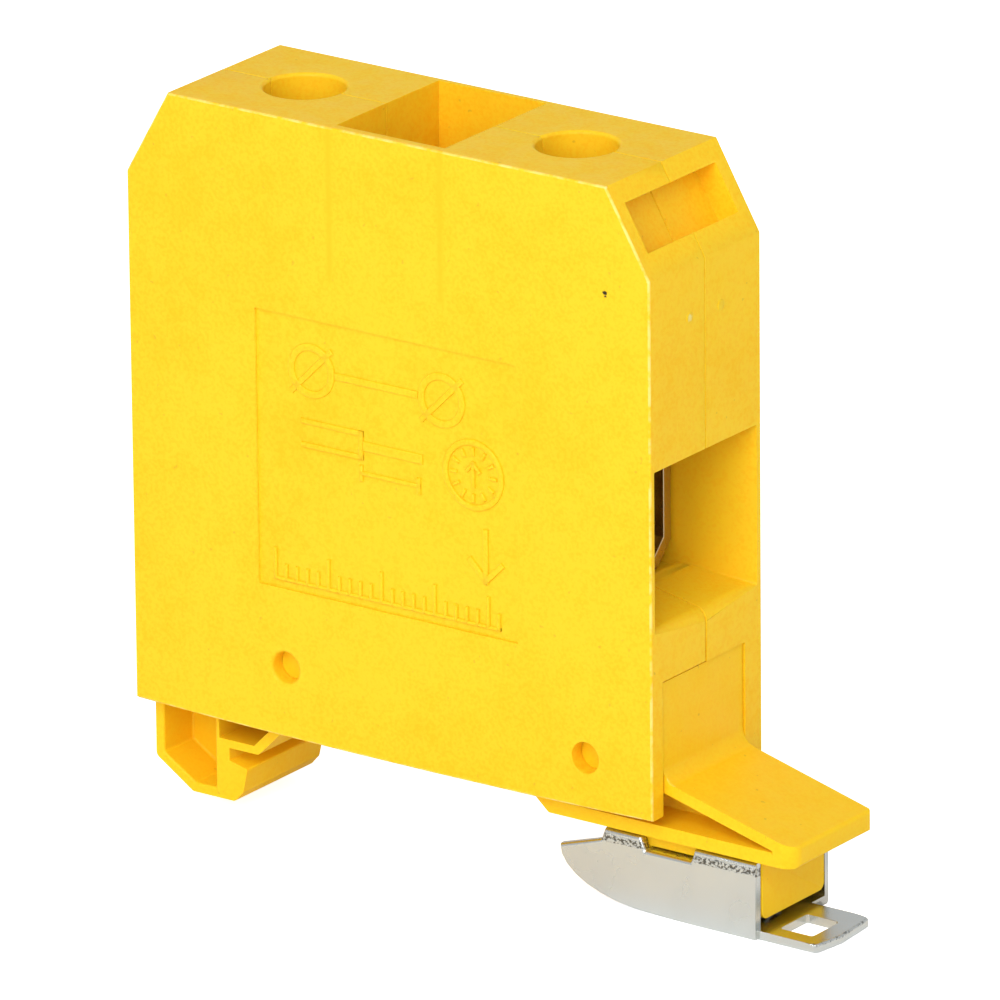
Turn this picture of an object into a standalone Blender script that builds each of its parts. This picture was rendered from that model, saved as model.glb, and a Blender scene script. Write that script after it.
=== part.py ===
"""DIN rail terminal block: a two-shell housing with a rail foot, a sprung rail catch and two screw clamps.

Frame: metres, +X across the rail towards the catch, +Y along the rail, +Z away from the rail.
The origin is on the rail's centre line, on the plane of the rail's flanges that the hook's jaw touches.
The hook end is the left end (-X) and the catch end is the right end (+X).
"""

import math

import bmesh
import bpy
from mathutils import Vector

MM = 0.001

# The rail that the foot grips
RAIL_WIDTH = 35.0 * MM
RAIL_THICKNESS = 1.0 * MM
RAIL_PLAY = 0.02 * MM

# Housing
BODY_LENGTH = 48.7 * MM
BODY_WIDTH = 14.5 * MM
BODY_HEIGHT = 49.8 * MM
BODY_LIFT = 3.1 * MM
BODY_OVERHANG = 7.6 * MM
CHAMFER_ALONG = 3.95 * MM
CHAMFER_DOWN = 6.8 * MM
BODY_CROWN = 0.33 * MM
SEAM_GAP = 0.1 * MM
FIT_GAP = 0.1 * MM

# Label panel sunk into the front face
LABEL_LENGTH = 24.5 * MM
LABEL_HEIGHT = 22.3 * MM
LABEL_SILL = 11.8 * MM
LABEL_OFFSET = -0.2 * MM
LABEL_DEPTH = 0.25 * MM

# Well in the top, between the screws
WELL_LENGTH = 10.1 * MM
WELL_DEPTH = 12.7 * MM
WELL_FRONT_WALL = 0.82 * MM
WELL_REAR_WALL = 0.45 * MM
WELL_FLOOR = 1.6 * MM

# Marker recess in each top chamfer
MARKER_LENGTH = 4.15 * MM
MARKER_MARGIN = 1.7 * MM
MARKER_WIDTH = 11.8 * MM
MARKER_DEPTH = 2.1 * MM

# Wire entries
ENTRY_SILL = 15.9 * MM
ENTRY_HEIGHT = 11.9 * MM
ENTRY_FLARE = 5.1 * MM
ENTRY_DROP = 1.0 * MM
ENTRY_RIM = 0.5 * MM
ENTRY_LIP = 0.5 * MM

# Clamp cages, current bar and clamp screws
CLAMP_SPACING = 25.4 * MM
WIRE_SPACE = 8.0 * MM
CAGE_SHEET = 1.0 * MM
CAGE_LENGTH = 9.9 * MM
CAGE_CHAMFER = 1.9 * MM
CAGE_HEAD = 2.4 * MM
CAGE_ROUND = 1.1 * MM
CAGE_PLAY = 0.3 * MM
BAR_THICKNESS = 2.0 * MM
BAR_WIDTH = 7.0 * MM
BAR_PLAY = 0.1 * MM
THREAD_DIAMETER = 5.0 * MM
THREAD_PITCH = 0.8 * MM
THREAD_PLAY = 0.08 * MM
CLAMP_TURNS = 10
HEAD_DIAMETER = 6.0 * MM
HEAD_HEIGHT = 3.0 * MM
HEAD_SLOT_WIDTH = 1.2 * MM
HEAD_SLOT_DEPTH = 1.7 * MM
HEAD_EDGE = 0.35 * MM
SCREW_POINT = 0.6 * MM
SCREW_HOLE_DIAMETER = 6.4 * MM

# Hollow between the two clamp chambers
CORE_WALL = 1.7 * MM
CORE_RIB = 1.2 * MM
CORE_RIB_OFFSET = 1.27 * MM
CORE_RIB_HEIGHT = 9.0 * MM

# Pegs that locate the shells on each other
PEG_DIAMETER = 1.8 * MM
PEG_LENGTH = 2.2 * MM
PEG_SINK = 4.8 * MM

# Rail foot
FOOT_WIDTH = 10.55 * MM
FOOT_OFFSET = -0.275 * MM
FOOT_RISE = 10.65 * MM
FOOT_WALL = 1.5 * MM
FOOT_RECESS = 0.2 * MM
POCKET_DEPTH = 3.7 * MM
FOOT_LEFT_INSET = 0.55 * MM
FOOT_RIGHT_INSET = 0.17 * MM
HOOK_DROP = 4.3 * MM
HOOK_FLANK = 2.3 * MM
HOOK_HEEL = 3.5 * MM
HOOK_LIP = 1.73 * MM
HOOK_LIP_FALL = 0.42 * MM
HOOK_WALL = 0.77 * MM
HOOK_CHIN = 1.25 * MM
HOOK_CHIN_RISE = 0.9 * MM
HOOK_CHIN_LEAN = 0.45 * MM
HOOK_SETBACK = 0.6 * MM
HOOK_BLOCK = 1.36 * MM
JAW_THICKNESS = 0.65 * MM
JAW_REACH = 2.8 * MM
JAW_BEND = 0.45 * MM
JAW_ROOT = 0.4 * MM
LEDGE_LIFT = 1.09 * MM
LEDGE_HEIGHT = 1.1 * MM
LEDGE_START = 4.75 * MM
LEDGE_LEAD = 2.5 * MM
WING_REACH = 11.7 * MM
WING_TIP = 1.7 * MM
WING_RISE = 4.8 * MM
WING_PLATE = 0.95 * MM
WING_FRONT_CORNER = 1.3 * MM
WING_REAR_CORNER = 0.35 * MM
WING_ROOT = 1.4 * MM
WEDGE_SHARE = 0.85
FIX_HOLE_DIAMETER = 2.5 * MM
FIX_HOLES = ((14.35 * MM, 5.35 * MM), (42.5 * MM, 3.9 * MM))
FIX_PEG_SINK = 1.3 * MM
FIX_BOSS = 2.4 * MM

# Rail catch, its guide and its spring
CATCH_SHEET = 0.7 * MM
CATCH_WIDTH = 9.97 * MM
CATCH_REACH = 4.05 * MM
CATCH_STEP = 0.15 * MM
CATCH_LENGTH = 18.2 * MM
CATCH_TOP_PLAY = 0.32 * MM
CATCH_BOTTOM = 5.35 * MM
CATCH_TIP_DROP = 1.4 * MM
CATCH_WEDGE_DROP = 0.2 * MM
CATCH_BOW = 8.6 * MM
CATCH_TRAVEL = 3.0 * MM
NOTCH_START = 8.0 * MM
NOTCH_LENGTH = 4.2 * MM
NOTCH_DEPTH = 1.05 * MM
NOTCH_LEAN = 0.35 * MM
TONGUE_REACH = 1.2 * MM
TAB_LENGTH = 5.8 * MM
TAB_WIDTH = 7.2 * MM
TAB_FRONT_INSET = 0.3 * MM
TAB_SKEW = 0.4 * MM
TAB_KINK = 0.4
TAB_HOLE_LENGTH = 3.0 * MM
TAB_HOLE_WIDTH = 3.65 * MM
TAB_HOLE_START = 1.1 * MM
TAB_HOLE_INSET = 1.35 * MM
LUG_WIDTH = 3.2 * MM
LUG_TOP_PLAY = 0.3 * MM
GUIDE_PLAY = 0.15 * MM
GUIDE_START = 0.85 * MM
GUIDE_OVERRUN = 0.05 * MM
GUIDE_LIFT = 0.65 * MM
GUIDE_ROUND = 0.7 * MM
GUIDE_END_WALL = 1.5 * MM
SPRING_DIAMETER = 3.0 * MM
SPRING_WIRE = 0.4 * MM
SPRING_PLAY = 0.25 * MM
SPRING_COILS = 8.5
SPRING_COIL_STEPS = 14

# Moulded and sheared edges
EDGE_FINE = 0.15 * MM
EDGE_SMALL = 0.3 * MM
EDGE_MEDIUM = 0.4 * MM
EDGE_LARGE = 0.5 * MM
TAB_BLEND = 1.0 * MM

ROUND_SIDES = 32
PEG_SIDES = 16
CROWN_STEPS = 12
BIG_REACH = 100.0 * MM

# Derived planes of the housing
BODY_LEFT = -RAIL_WIDTH / 2 - BODY_OVERHANG
BODY_RIGHT = BODY_LEFT + BODY_LENGTH
BODY_CENTRE = (BODY_LEFT + BODY_RIGHT) / 2
BODY_BOTTOM = BODY_LIFT
BODY_TOP = BODY_BOTTOM + BODY_HEIGHT
BODY_FRONT = -BODY_WIDTH / 2
BODY_REAR = BODY_WIDTH / 2

# Derived planes of the clamps
CAGE_HALF = WIRE_SPACE / 2 + CAGE_SHEET
CHAMBER_HALF = CAGE_HALF + CAGE_PLAY
ENTRY_FLOOR = BODY_BOTTOM + ENTRY_SILL
ENTRY_TOP = ENTRY_FLOOR + ENTRY_HEIGHT
CAGE_BOTTOM = ENTRY_FLOOR
BAR_BOTTOM = ENTRY_TOP + BAR_PLAY
BAR_TOP = BAR_BOTTOM + BAR_THICKNESS
CAGE_ROOF = BAR_TOP + CAGE_PLAY
CAGE_TOP = CAGE_ROOF + CAGE_HEAD
CLAMP_TRAVEL = CLAMP_TURNS * THREAD_PITCH
CHAMBER_TOP = CAGE_TOP + CLAMP_TRAVEL + CAGE_PLAY
CHAMBER_FLOOR = CAGE_BOTTOM - CAGE_PLAY
CHAMBER_LENGTH = CAGE_LENGTH + 2 * CAGE_PLAY
SIDES = (("left", -1), ("right", 1))

# Derived planes of the foot and the catch
FOOT_FRONT = FOOT_OFFSET - FOOT_WIDTH / 2
FOOT_REAR = FOOT_OFFSET + FOOT_WIDTH / 2
FOOT_TOP = BODY_BOTTOM + FOOT_RISE
FOOT_BASE = BODY_BOTTOM + FOOT_RECESS
FOOT_LEFT = BODY_LEFT + FOOT_LEFT_INSET
FOOT_RIGHT = BODY_RIGHT - FOOT_RIGHT_INSET
HOOK_SLOT = -RAIL_WIDTH / 2
LEDGE_LEFT = RAIL_WIDTH / 2 - LEDGE_START
LEDGE_TOP = LEDGE_LIFT + LEDGE_HEIGHT
WING_RIGHT = BODY_RIGHT + WING_REACH
CATCH_FRONT = FOOT_OFFSET - CATCH_WIDTH / 2
CATCH_REAR = FOOT_OFFSET + CATCH_WIDTH / 2
CATCH_LEFT = RAIL_WIDTH / 2 - CATCH_REACH
CATCH_RIGHT = CATCH_LEFT + CATCH_LENGTH
CATCH_TOP = LEDGE_LIFT - CATCH_TOP_PLAY
GUIDE_FRONT = CATCH_FRONT + CATCH_SHEET + GUIDE_PLAY
GUIDE_REAR = CATCH_REAR - CATCH_SHEET - GUIDE_PLAY
GUIDE_LEFT = RAIL_WIDTH / 2 + GUIDE_START
GUIDE_RIGHT = CATCH_RIGHT + GUIDE_OVERRUN
GUIDE_BOTTOM = -CATCH_BOTTOM + CATCH_SHEET + GUIDE_LIFT
NOTCH_LEFT = CATCH_LEFT + NOTCH_START
NOTCH_RIGHT = NOTCH_LEFT + NOTCH_LENGTH
NOTCH_FLOOR = CATCH_TOP - NOTCH_DEPTH
LUG_LEFT = CATCH_LEFT + CATCH_BOW
SPRING_LEFT = LUG_LEFT + CATCH_SHEET + FIT_GAP
SPRING_RIGHT = GUIDE_RIGHT - GUIDE_END_WALL
SPRING_HALF = SPRING_DIAMETER / 2
SPRING_AXIS = -CATCH_BOTTOM + CATCH_SHEET + SPRING_PLAY + SPRING_HALF


def clear_scene():
    """Removes every object that the scene holds."""
    for obj in list(bpy.data.objects):
        bpy.data.objects.remove(obj)


def material(name, colour, roughness, metallic=0.0):
    """Makes one Principled material."""
    made = bpy.data.materials.new(name)
    made.use_nodes = True
    shader = made.node_tree.nodes["Principled BSDF"]
    shader.inputs["Base Color"].default_value = (*colour, 1.0)
    shader.inputs["Roughness"].default_value = roughness
    shader.inputs["Metallic"].default_value = metallic
    return made


def arc(centre, radius, start, stop, steps):
    """Points of an arc about centre, from angle start to angle stop in degrees."""
    points = []
    for step in range(steps + 1):
        angle = math.radians(start + (stop - start) * step / steps)
        points.append((centre[0] + radius * math.cos(angle), centre[1] + radius * math.sin(angle)))
    return points


def circle(centre, radius, sides=ROUND_SIDES):
    """The corners of a regular outline about centre."""
    return arc(centre, radius, 0, 360, sides)[:-1]


def rounded(corners, steps=4):
    """An outline whose corners given as (a, b, radius) become arcs; a corner given as (a, b) stays sharp."""
    outline = []
    for index, corner in enumerate(corners):
        here = Vector(corner[:2])
        if len(corner) < 3:
            outline.append(tuple(here))
            continue
        before = (Vector(corners[index - 1][:2]) - here).normalized()
        after = (Vector(corners[(index + 1) % len(corners)][:2]) - here).normalized()
        half = before.angle(after) / 2
        centre = here + (before + after).normalized() * corner[2] / math.sin(half)
        first = here + before * corner[2] / math.tan(half) - centre
        last = here + after * corner[2] / math.tan(half) - centre
        turn = first.angle_signed(last)
        for step in range(steps + 1):
            share = step / steps
            angle = math.atan2(first.y, first.x) - turn * share
            outline.append((centre.x + corner[2] * math.cos(angle), centre.y + corner[2] * math.sin(angle)))
    return outline


def rectangle(left, right, bottom, top):
    """The four corners of an upright rectangle."""
    return [(left, bottom), (right, bottom), (right, top), (left, top)]


def prism(name, outline, low, high, axis="Y"):
    """A straight solid: an outline in the plane across axis, swept from low to high along it."""
    place = {
        "X": lambda a, b: (low, a, b),
        "Y": lambda a, b: (a, low, b),
        "Z": lambda a, b: (a, b, low),
    }[axis]
    sweep = {"X": (high - low, 0, 0), "Y": (0, high - low, 0), "Z": (0, 0, high - low)}[axis]
    shape = bmesh.new()
    face = shape.faces.new([shape.verts.new(place(a, b)) for a, b in outline])
    swept = bmesh.ops.extrude_face_region(shape, geom=[face])
    moved = [item for item in swept["geom"] if isinstance(item, bmesh.types.BMVert)]
    bmesh.ops.translate(shape, vec=sweep, verts=moved)
    bmesh.ops.recalc_face_normals(shape, faces=shape.faces)
    return placed(name, shape)


def placed(name, shape):
    """Links a finished bmesh to the scene as an object."""
    mesh = bpy.data.meshes.new(name)
    shape.to_mesh(mesh)
    shape.free()
    obj = bpy.data.objects.new(name, mesh)
    bpy.context.scene.collection.objects.link(obj)
    return obj


def box(name, x_range, y_range, z_range):
    """An upright box between the given planes."""
    return prism(name, rectangle(*x_range, *z_range), *y_range)


def combine(target, tools, operation):
    """Adds or cuts the tools, in order, and leaves only the target."""
    for tool in tools:
        modifier = target.modifiers.new(tool.name, "BOOLEAN")
        modifier.operation = operation
        modifier.solver = "EXACT"
        modifier.object = tool
    graph = bpy.context.evaluated_depsgraph_get()
    mesh = bpy.data.meshes.new_from_object(target.evaluated_get(graph))
    target.modifiers.clear()
    target.data = mesh
    for tool in tools:
        bpy.data.objects.remove(tool)


def cut(target, *tools):
    """Cuts the tools out of the target."""
    combine(target, tools, "DIFFERENCE")


def join(target, *tools):
    """Joins the tools to the target as one body."""
    combine(target, tools, "UNION")


def finish(obj, name, look, smooth_angle=30):
    """Names a piece, gives it its material and shades its round faces smooth."""
    obj.name = name
    obj.data.name = name
    obj.data.materials.clear()
    obj.data.materials.append(look)
    obj.data.shade_smooth()
    obj.data.set_sharp_from_angle(angle=math.radians(smooth_angle))


def recentre(obj, origin):
    """Moves an object's origin to a point on its joint's axis and leaves its shape where it is."""
    shift = Vector(origin)
    for vertex in obj.data.vertices:
        vertex.co -= shift
    obj.location = shift


def clamp_centre(side):
    """X of a clamp's screw axis."""
    return BODY_CENTRE + side * CLAMP_SPACING / 2


def body_outline():
    """The housing's outline, seen from the front: its bottom edge bows slightly outward."""
    bottom = []
    for step in range(CROWN_STEPS + 1):
        share = step / CROWN_STEPS
        drop = BODY_CROWN * 4 * share * (1 - share)
        bottom.append((BODY_LEFT + BODY_LENGTH * share, BODY_BOTTOM - drop))
    return bottom + [
        (BODY_RIGHT, BODY_TOP - CHAMFER_DOWN),
        (BODY_RIGHT - CHAMFER_ALONG, BODY_TOP),
        (BODY_LEFT + CHAMFER_ALONG, BODY_TOP),
        (BODY_LEFT, BODY_TOP - CHAMFER_DOWN),
    ]


def marker_outline(side):
    """The marker recess, seen from the front: a slot sunk square into the top chamfer."""
    start = Vector((BODY_CENTRE + side * (BODY_LENGTH / 2 - CHAMFER_ALONG), BODY_TOP))
    down = Vector((side * CHAMFER_ALONG, -CHAMFER_DOWN)).normalized()
    inward = Vector((-side * CHAMFER_DOWN, -CHAMFER_ALONG)).normalized()
    near = start + down * MARKER_MARGIN
    far = near + down * MARKER_LENGTH
    proud = -inward * MARKER_DEPTH
    sunk = inward * MARKER_DEPTH
    return [tuple(near + proud), tuple(far + proud), tuple(far + sunk), tuple(near + sunk)]


def entry_cutter(side):
    """The wire entry: a straight tunnel that opens out into a funnel at the end face."""
    chamber = abs(clamp_centre(side) - BODY_CENTRE) + CHAMBER_LENGTH / 2
    throat = BODY_LENGTH / 2 - ENTRY_FLARE
    mouth = BODY_LENGTH / 2 + ENTRY_LIP
    slope = ENTRY_LIP / ENTRY_FLARE
    reach = CHAMBER_HALF + (BODY_WIDTH / 2 - ENTRY_RIM - CHAMBER_HALF) * (1 + slope)
    fall = ENTRY_DROP * (1 + slope)
    shape = bmesh.new()
    rings = []
    stations = (
        (chamber - CAGE_PLAY, CHAMBER_HALF, ENTRY_FLOOR),
        (throat, CHAMBER_HALF, ENTRY_FLOOR),
        (mouth, reach, ENTRY_FLOOR - fall),
    )
    for along, half, floor in stations:
        x = BODY_CENTRE + side * along
        corners = ((-half, floor), (half, floor), (half, ENTRY_TOP), (-half, ENTRY_TOP))
        rings.append([shape.verts.new((x, y, z)) for y, z in corners])
    for first, second in zip(rings, rings[1:]):
        for index in range(4):
            after = (index + 1) % 4
            shape.faces.new((first[index], first[after], second[after], second[index]))
    shape.faces.new(rings[0])
    shape.faces.new(rings[-1])
    bmesh.ops.recalc_face_normals(shape, faces=shape.faces)
    return placed("entry", shape)


def clamp_cutters(side):
    """What one clamp takes out of the housing: its chamber, screw hole, wire entry and marker recess."""
    centre = clamp_centre(side)
    half = CHAMBER_LENGTH / 2
    across = (-CHAMBER_HALF, CHAMBER_HALF)
    marker = (-MARKER_WIDTH / 2, MARKER_WIDTH / 2)
    hole = circle((centre, 0), SCREW_HOLE_DIAMETER / 2)
    return [
        box("chamber", (centre - half, centre + half), across, (CHAMBER_FLOOR, CHAMBER_TOP)),
        prism("screw_hole", hole, CHAMBER_TOP - CAGE_PLAY, BODY_TOP + MM, "Z"),
        entry_cutter(side),
        prism("marker", marker_outline(side), *marker),
    ]


def core_cutters():
    """The hollows between the clamp chambers, with the rib that stands in the lower one."""
    inner = CLAMP_SPACING / 2 - CHAMBER_LENGTH / 2 - CORE_WALL
    across = (-CHAMBER_HALF, CHAMBER_HALF)
    left = BODY_CENTRE - inner
    right = BODY_CENTRE + inner
    rib = BODY_CENTRE + CORE_RIB_OFFSET
    floor = CHAMBER_FLOOR
    shelf = floor + CORE_RIB_HEIGHT
    roof = BODY_TOP - WELL_DEPTH - WELL_FLOOR
    return [
        box("core_low_left", (left, rib - CORE_RIB / 2), across, (floor, shelf)),
        box("core_low_right", (rib + CORE_RIB / 2, right), across, (floor, shelf)),
        box("core_high", (left, right), across, (BAR_TOP + CORE_WALL, roof)),
    ]


def bar_range():
    """X range of the current bar: from the outer face of one cage to that of the other."""
    half = (CLAMP_SPACING + CAGE_LENGTH) / 2
    return BODY_CENTRE - half, BODY_CENTRE + half


def housing_cutters():
    """Everything that is cut out of both shells."""
    left, right = bar_range()
    bar_half = BAR_WIDTH / 2 + BAR_PLAY
    well = (BODY_FRONT + WELL_FRONT_WALL, BODY_REAR - WELL_REAR_WALL)
    well_span = (BODY_CENTRE - WELL_LENGTH / 2, BODY_CENTRE + WELL_LENGTH / 2)
    foot = (FOOT_FRONT - FIT_GAP, FOOT_REAR + FIT_GAP)
    cutters = [
        box("bar_way", (left, right), (-bar_half, bar_half), (BAR_BOTTOM - BAR_PLAY, BAR_TOP + BAR_PLAY)),
        box("well", well_span, well, (BODY_TOP - WELL_DEPTH, BODY_TOP + MM)),
        box("foot_way", (BODY_LEFT - MM, BODY_RIGHT + MM), foot, (BODY_BOTTOM - MM, FOOT_TOP + FIT_GAP)),
    ]
    for _, side in SIDES:
        cutters += clamp_cutters(side)
    for along, height in FIX_HOLES:
        hole = circle((BODY_LEFT + along, BODY_BOTTOM + height), FIX_HOLE_DIAMETER / 2)
        cutters.append(prism("fix_hole", hole, BODY_FRONT - MM, BODY_REAR + MM))
    return cutters + core_cutters()


def peg_places():
    """Where the locating pegs stand on the seam: beside the well, and under each clamp."""
    beside = (WELL_LENGTH / 2 + CLAMP_SPACING / 2 - SCREW_HOLE_DIAMETER / 2) / 2
    under = (CHAMBER_FLOOR + FOOT_TOP) / 2
    places = []
    for _, side in SIDES:
        places.append((BODY_CENTRE + side * beside, BODY_TOP - PEG_SINK))
        places.append((clamp_centre(side), under))
    return places


def make_front_shell(look):
    """The front shell: it carries the label panel and the locating pegs."""
    shell = prism("shell", body_outline(), BODY_FRONT, -SEAM_GAP / 2)
    label_left = BODY_CENTRE + LABEL_OFFSET - LABEL_LENGTH / 2
    label_bottom = BODY_BOTTOM + LABEL_SILL
    label = box(
        "label",
        (label_left, label_left + LABEL_LENGTH),
        (BODY_FRONT - MM, BODY_FRONT + LABEL_DEPTH),
        (label_bottom, label_bottom + LABEL_HEIGHT),
    )
    cut(shell, label, *housing_cutters())
    pegs = []
    for x, z in peg_places():
        pegs.append(prism("peg", circle((x, z), PEG_DIAMETER / 2, PEG_SIDES), -PEG_LENGTH, PEG_LENGTH))
    join(shell, *pegs)
    finish(shell, "front_shell", look)


def make_rear_shell(look):
    """The rear shell: it has the sockets for the locating pegs."""
    shell = prism("shell", body_outline(), SEAM_GAP / 2, BODY_REAR)
    sockets = []
    for x, z in peg_places():
        outline = circle((x, z), PEG_DIAMETER / 2 + FIT_GAP, PEG_SIDES)
        sockets.append(prism("socket", outline, -MM, PEG_LENGTH + CAGE_PLAY))
    cut(shell, *housing_cutters(), *sockets)
    finish(shell, "rear_shell", look)


def wing_height(x):
    """Height of the wing's sloping top at x."""
    slope = (WING_RISE - WING_TIP) / (WING_RIGHT - FOOT_RIGHT)
    return LEDGE_LIFT + WING_RISE - slope * (x - FOOT_RIGHT)


def foot_outline():
    """The foot's outline, seen from the front: end panels, hook, ledge and wing."""
    slot_floor = -RAIL_THICKNESS - RAIL_PLAY
    lip = HOOK_SLOT + HOOK_LIP
    jaw_end = HOOK_SLOT + JAW_REACH
    rise = FOOT_BASE
    flank_end = FOOT_LEFT + HOOK_HEEL
    return rounded(
        [
            (FOOT_LEFT, FOOT_TOP),
            (FOOT_LEFT, -HOOK_DROP + HOOK_FLANK, EDGE_LARGE),
            (flank_end, -HOOK_DROP, EDGE_LARGE),
            (lip - HOOK_CHIN, -HOOK_DROP, EDGE_MEDIUM),
            (lip - HOOK_CHIN_LEAN, -HOOK_DROP + HOOK_CHIN_RISE, EDGE_MEDIUM),
            (lip, slot_floor - HOOK_LIP_FALL, EDGE_FINE),
            (HOOK_SLOT, slot_floor),
            (HOOK_SLOT, 0),
            (jaw_end, 0, EDGE_MEDIUM),
            (jaw_end + rise, rise, EDGE_SMALL),
            (LEDGE_LEFT - LEDGE_LEAD, FOOT_BASE, EDGE_SMALL),
            (LEDGE_LEFT, LEDGE_LIFT, EDGE_SMALL),
            (WING_RIGHT, LEDGE_LIFT, EDGE_SMALL),
            (WING_RIGHT, LEDGE_LIFT + WING_TIP, EDGE_MEDIUM),
            (FOOT_RIGHT, wing_height(FOOT_RIGHT), WING_ROOT),
            (FOOT_RIGHT, FOOT_TOP),
        ]
    )


def pocket_outlines():
    """The pockets that are sunk into the foot's front and rear, with a web left between them."""
    hook_left = FOOT_LEFT + HOOK_WALL
    hook_bottom = -HOOK_DROP + HOOK_WALL
    block_left = HOOK_SLOT - HOOK_BLOCK
    bay_floor = FOOT_BASE + FOOT_WALL
    bay_top = FOOT_TOP - FOOT_WALL
    boss_left = BODY_LEFT + FIX_HOLES[0][0]
    boss_right = BODY_LEFT + FIX_HOLES[1][0]
    middle = (boss_left + boss_right) / 2
    wedge_end = FOOT_RIGHT + WING_REACH * WEDGE_SHARE
    return [
        rounded(
            [
                (hook_left, FOOT_BASE),
                (hook_left, hook_bottom + HOOK_FLANK - EDGE_MEDIUM, EDGE_SMALL),
                (FOOT_LEFT + HOOK_HEEL + EDGE_SMALL, hook_bottom, EDGE_SMALL),
                (block_left, hook_bottom),
                (block_left, FOOT_BASE),
            ]
        ),
        rectangle(hook_left, boss_left - FIX_BOSS, bay_floor, bay_top),
        rectangle(boss_left + FIX_BOSS, middle - FOOT_WALL / 2, bay_floor, bay_top),
        rectangle(middle + FOOT_WALL / 2, boss_right - FIX_BOSS, bay_floor, bay_top),
        rounded(
            [
                (LEDGE_LEFT + FOOT_WALL, LEDGE_TOP, EDGE_SMALL),
                (wedge_end, LEDGE_TOP),
                (wedge_end, wing_height(wedge_end) - WING_PLATE),
                (FOOT_RIGHT, wing_height(FOOT_RIGHT) - WING_PLATE, EDGE_LARGE),
                (LEDGE_LEFT + FOOT_WALL, FOOT_BASE + EDGE_SMALL, EDGE_SMALL),
            ]
        ),
    ]


def jaw_slot_outline():
    """The slot over the hook's jaw, which leaves the jaw a springy tongue."""
    root = HOOK_SLOT - HOOK_BLOCK + JAW_ROOT
    bend = HOOK_SLOT + JAW_REACH - JAW_BEND
    rise = FOOT_BASE - JAW_THICKNESS
    return [(root, JAW_THICKNESS), (bend, JAW_THICKNESS), (bend + rise, FOOT_BASE), (root, FOOT_BASE)]


def corner_cutter(edge, inward, radius):
    """Rounds one upright corner of the wing's tip."""
    centre = (WING_RIGHT - radius, edge + inward * radius)
    proud = MM
    outline = arc(centre, radius, -90 * inward, 0, 8)
    outline.append((WING_RIGHT + proud, centre[1]))
    outline.append((WING_RIGHT + proud, edge - inward * proud))
    outline.append((centre[0], edge - inward * proud))
    return prism("corner", outline, -BIG_REACH / 2, BIG_REACH / 2, "Z")


def guide_pieces():
    """The guide block under the ledge, and what is cut out of it for the catch's tongues, lug and spring."""
    outline = rounded(
        [
            (GUIDE_FRONT, LEDGE_LIFT + LEDGE_HEIGHT / 2),
            (GUIDE_FRONT, GUIDE_BOTTOM, GUIDE_ROUND),
            (GUIDE_REAR, GUIDE_BOTTOM, GUIDE_ROUND),
            (GUIDE_REAR, LEDGE_LIFT + LEDGE_HEIGHT / 2),
        ]
    )
    block = prism("guide", outline, GUIDE_LEFT, GUIDE_RIGHT, "X")
    groove = (NOTCH_LEFT - FIT_GAP, NOTCH_RIGHT + CATCH_TRAVEL + FIT_GAP)
    groove_height = (NOTCH_FLOOR - CATCH_SHEET - FIT_GAP, NOTCH_FLOOR + FIT_GAP)
    deep = TONGUE_REACH + FIT_GAP
    front = (CATCH_FRONT, CATCH_FRONT + CATCH_SHEET + deep)
    rear = (CATCH_REAR - CATCH_SHEET - deep, CATCH_REAR)
    lug_half = LUG_WIDTH / 2 + SPRING_PLAY
    spring_half = SPRING_HALF + SPRING_PLAY
    lug_way = (LUG_LEFT - FIT_GAP, LUG_LEFT + CATCH_SHEET + CATCH_TRAVEL + FIT_GAP)
    lug_across = (FOOT_OFFSET - lug_half, FOOT_OFFSET + lug_half)
    spring_across = (FOOT_OFFSET - spring_half, FOOT_OFFSET + spring_half)
    below = GUIDE_BOTTOM - MM
    cutters = [
        box("groove", groove, front, groove_height),
        box("groove", groove, rear, groove_height),
        box("lug_way", lug_way, lug_across, (below, SPRING_AXIS + SPRING_HALF + LUG_TOP_PLAY)),
        box("spring_way", (SPRING_LEFT, SPRING_RIGHT), spring_across, (below, SPRING_AXIS + spring_half)),
    ]
    return block, cutters


def make_rail_foot(look):
    """The rail foot, moulded in one piece: end panels, hook with its springy jaw, ledge, wing and guide."""
    foot = prism("foot", foot_outline(), FOOT_FRONT, FOOT_REAR)
    hook_x = (FOOT_LEFT - MM, HOOK_SLOT + JAW_REACH)
    cutters = [
        prism("jaw_slot", jaw_slot_outline(), FOOT_FRONT - MM, FOOT_REAR + MM),
        box("hook_rear", hook_x, (FOOT_REAR - HOOK_SETBACK, FOOT_REAR + MM), (-HOOK_DROP - MM, 0)),
    ]
    for outline in pocket_outlines():
        cutters.append(prism("pocket", outline, FOOT_FRONT - MM, FOOT_FRONT + POCKET_DEPTH))
        cutters.append(prism("pocket", outline, FOOT_REAR - POCKET_DEPTH, FOOT_REAR + MM))
    cutters.append(corner_cutter(FOOT_FRONT, 1, WING_FRONT_CORNER))
    cutters.append(corner_cutter(FOOT_REAR, -1, WING_REAR_CORNER))
    cut(foot, *cutters)
    guide, guide_cutters = guide_pieces()
    pegs = []
    for along, height in FIX_HOLES:
        outline = circle((BODY_LEFT + along, BODY_BOTTOM + height), FIX_HOLE_DIAMETER / 2 - FIT_GAP)
        pegs.append(prism("fix_peg", outline, BODY_FRONT + FIX_PEG_SINK, BODY_REAR - FIX_PEG_SINK))
    join(foot, guide, *pegs)
    cut(foot, *guide_cutters)
    finish(foot, "rail_foot", look)


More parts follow.
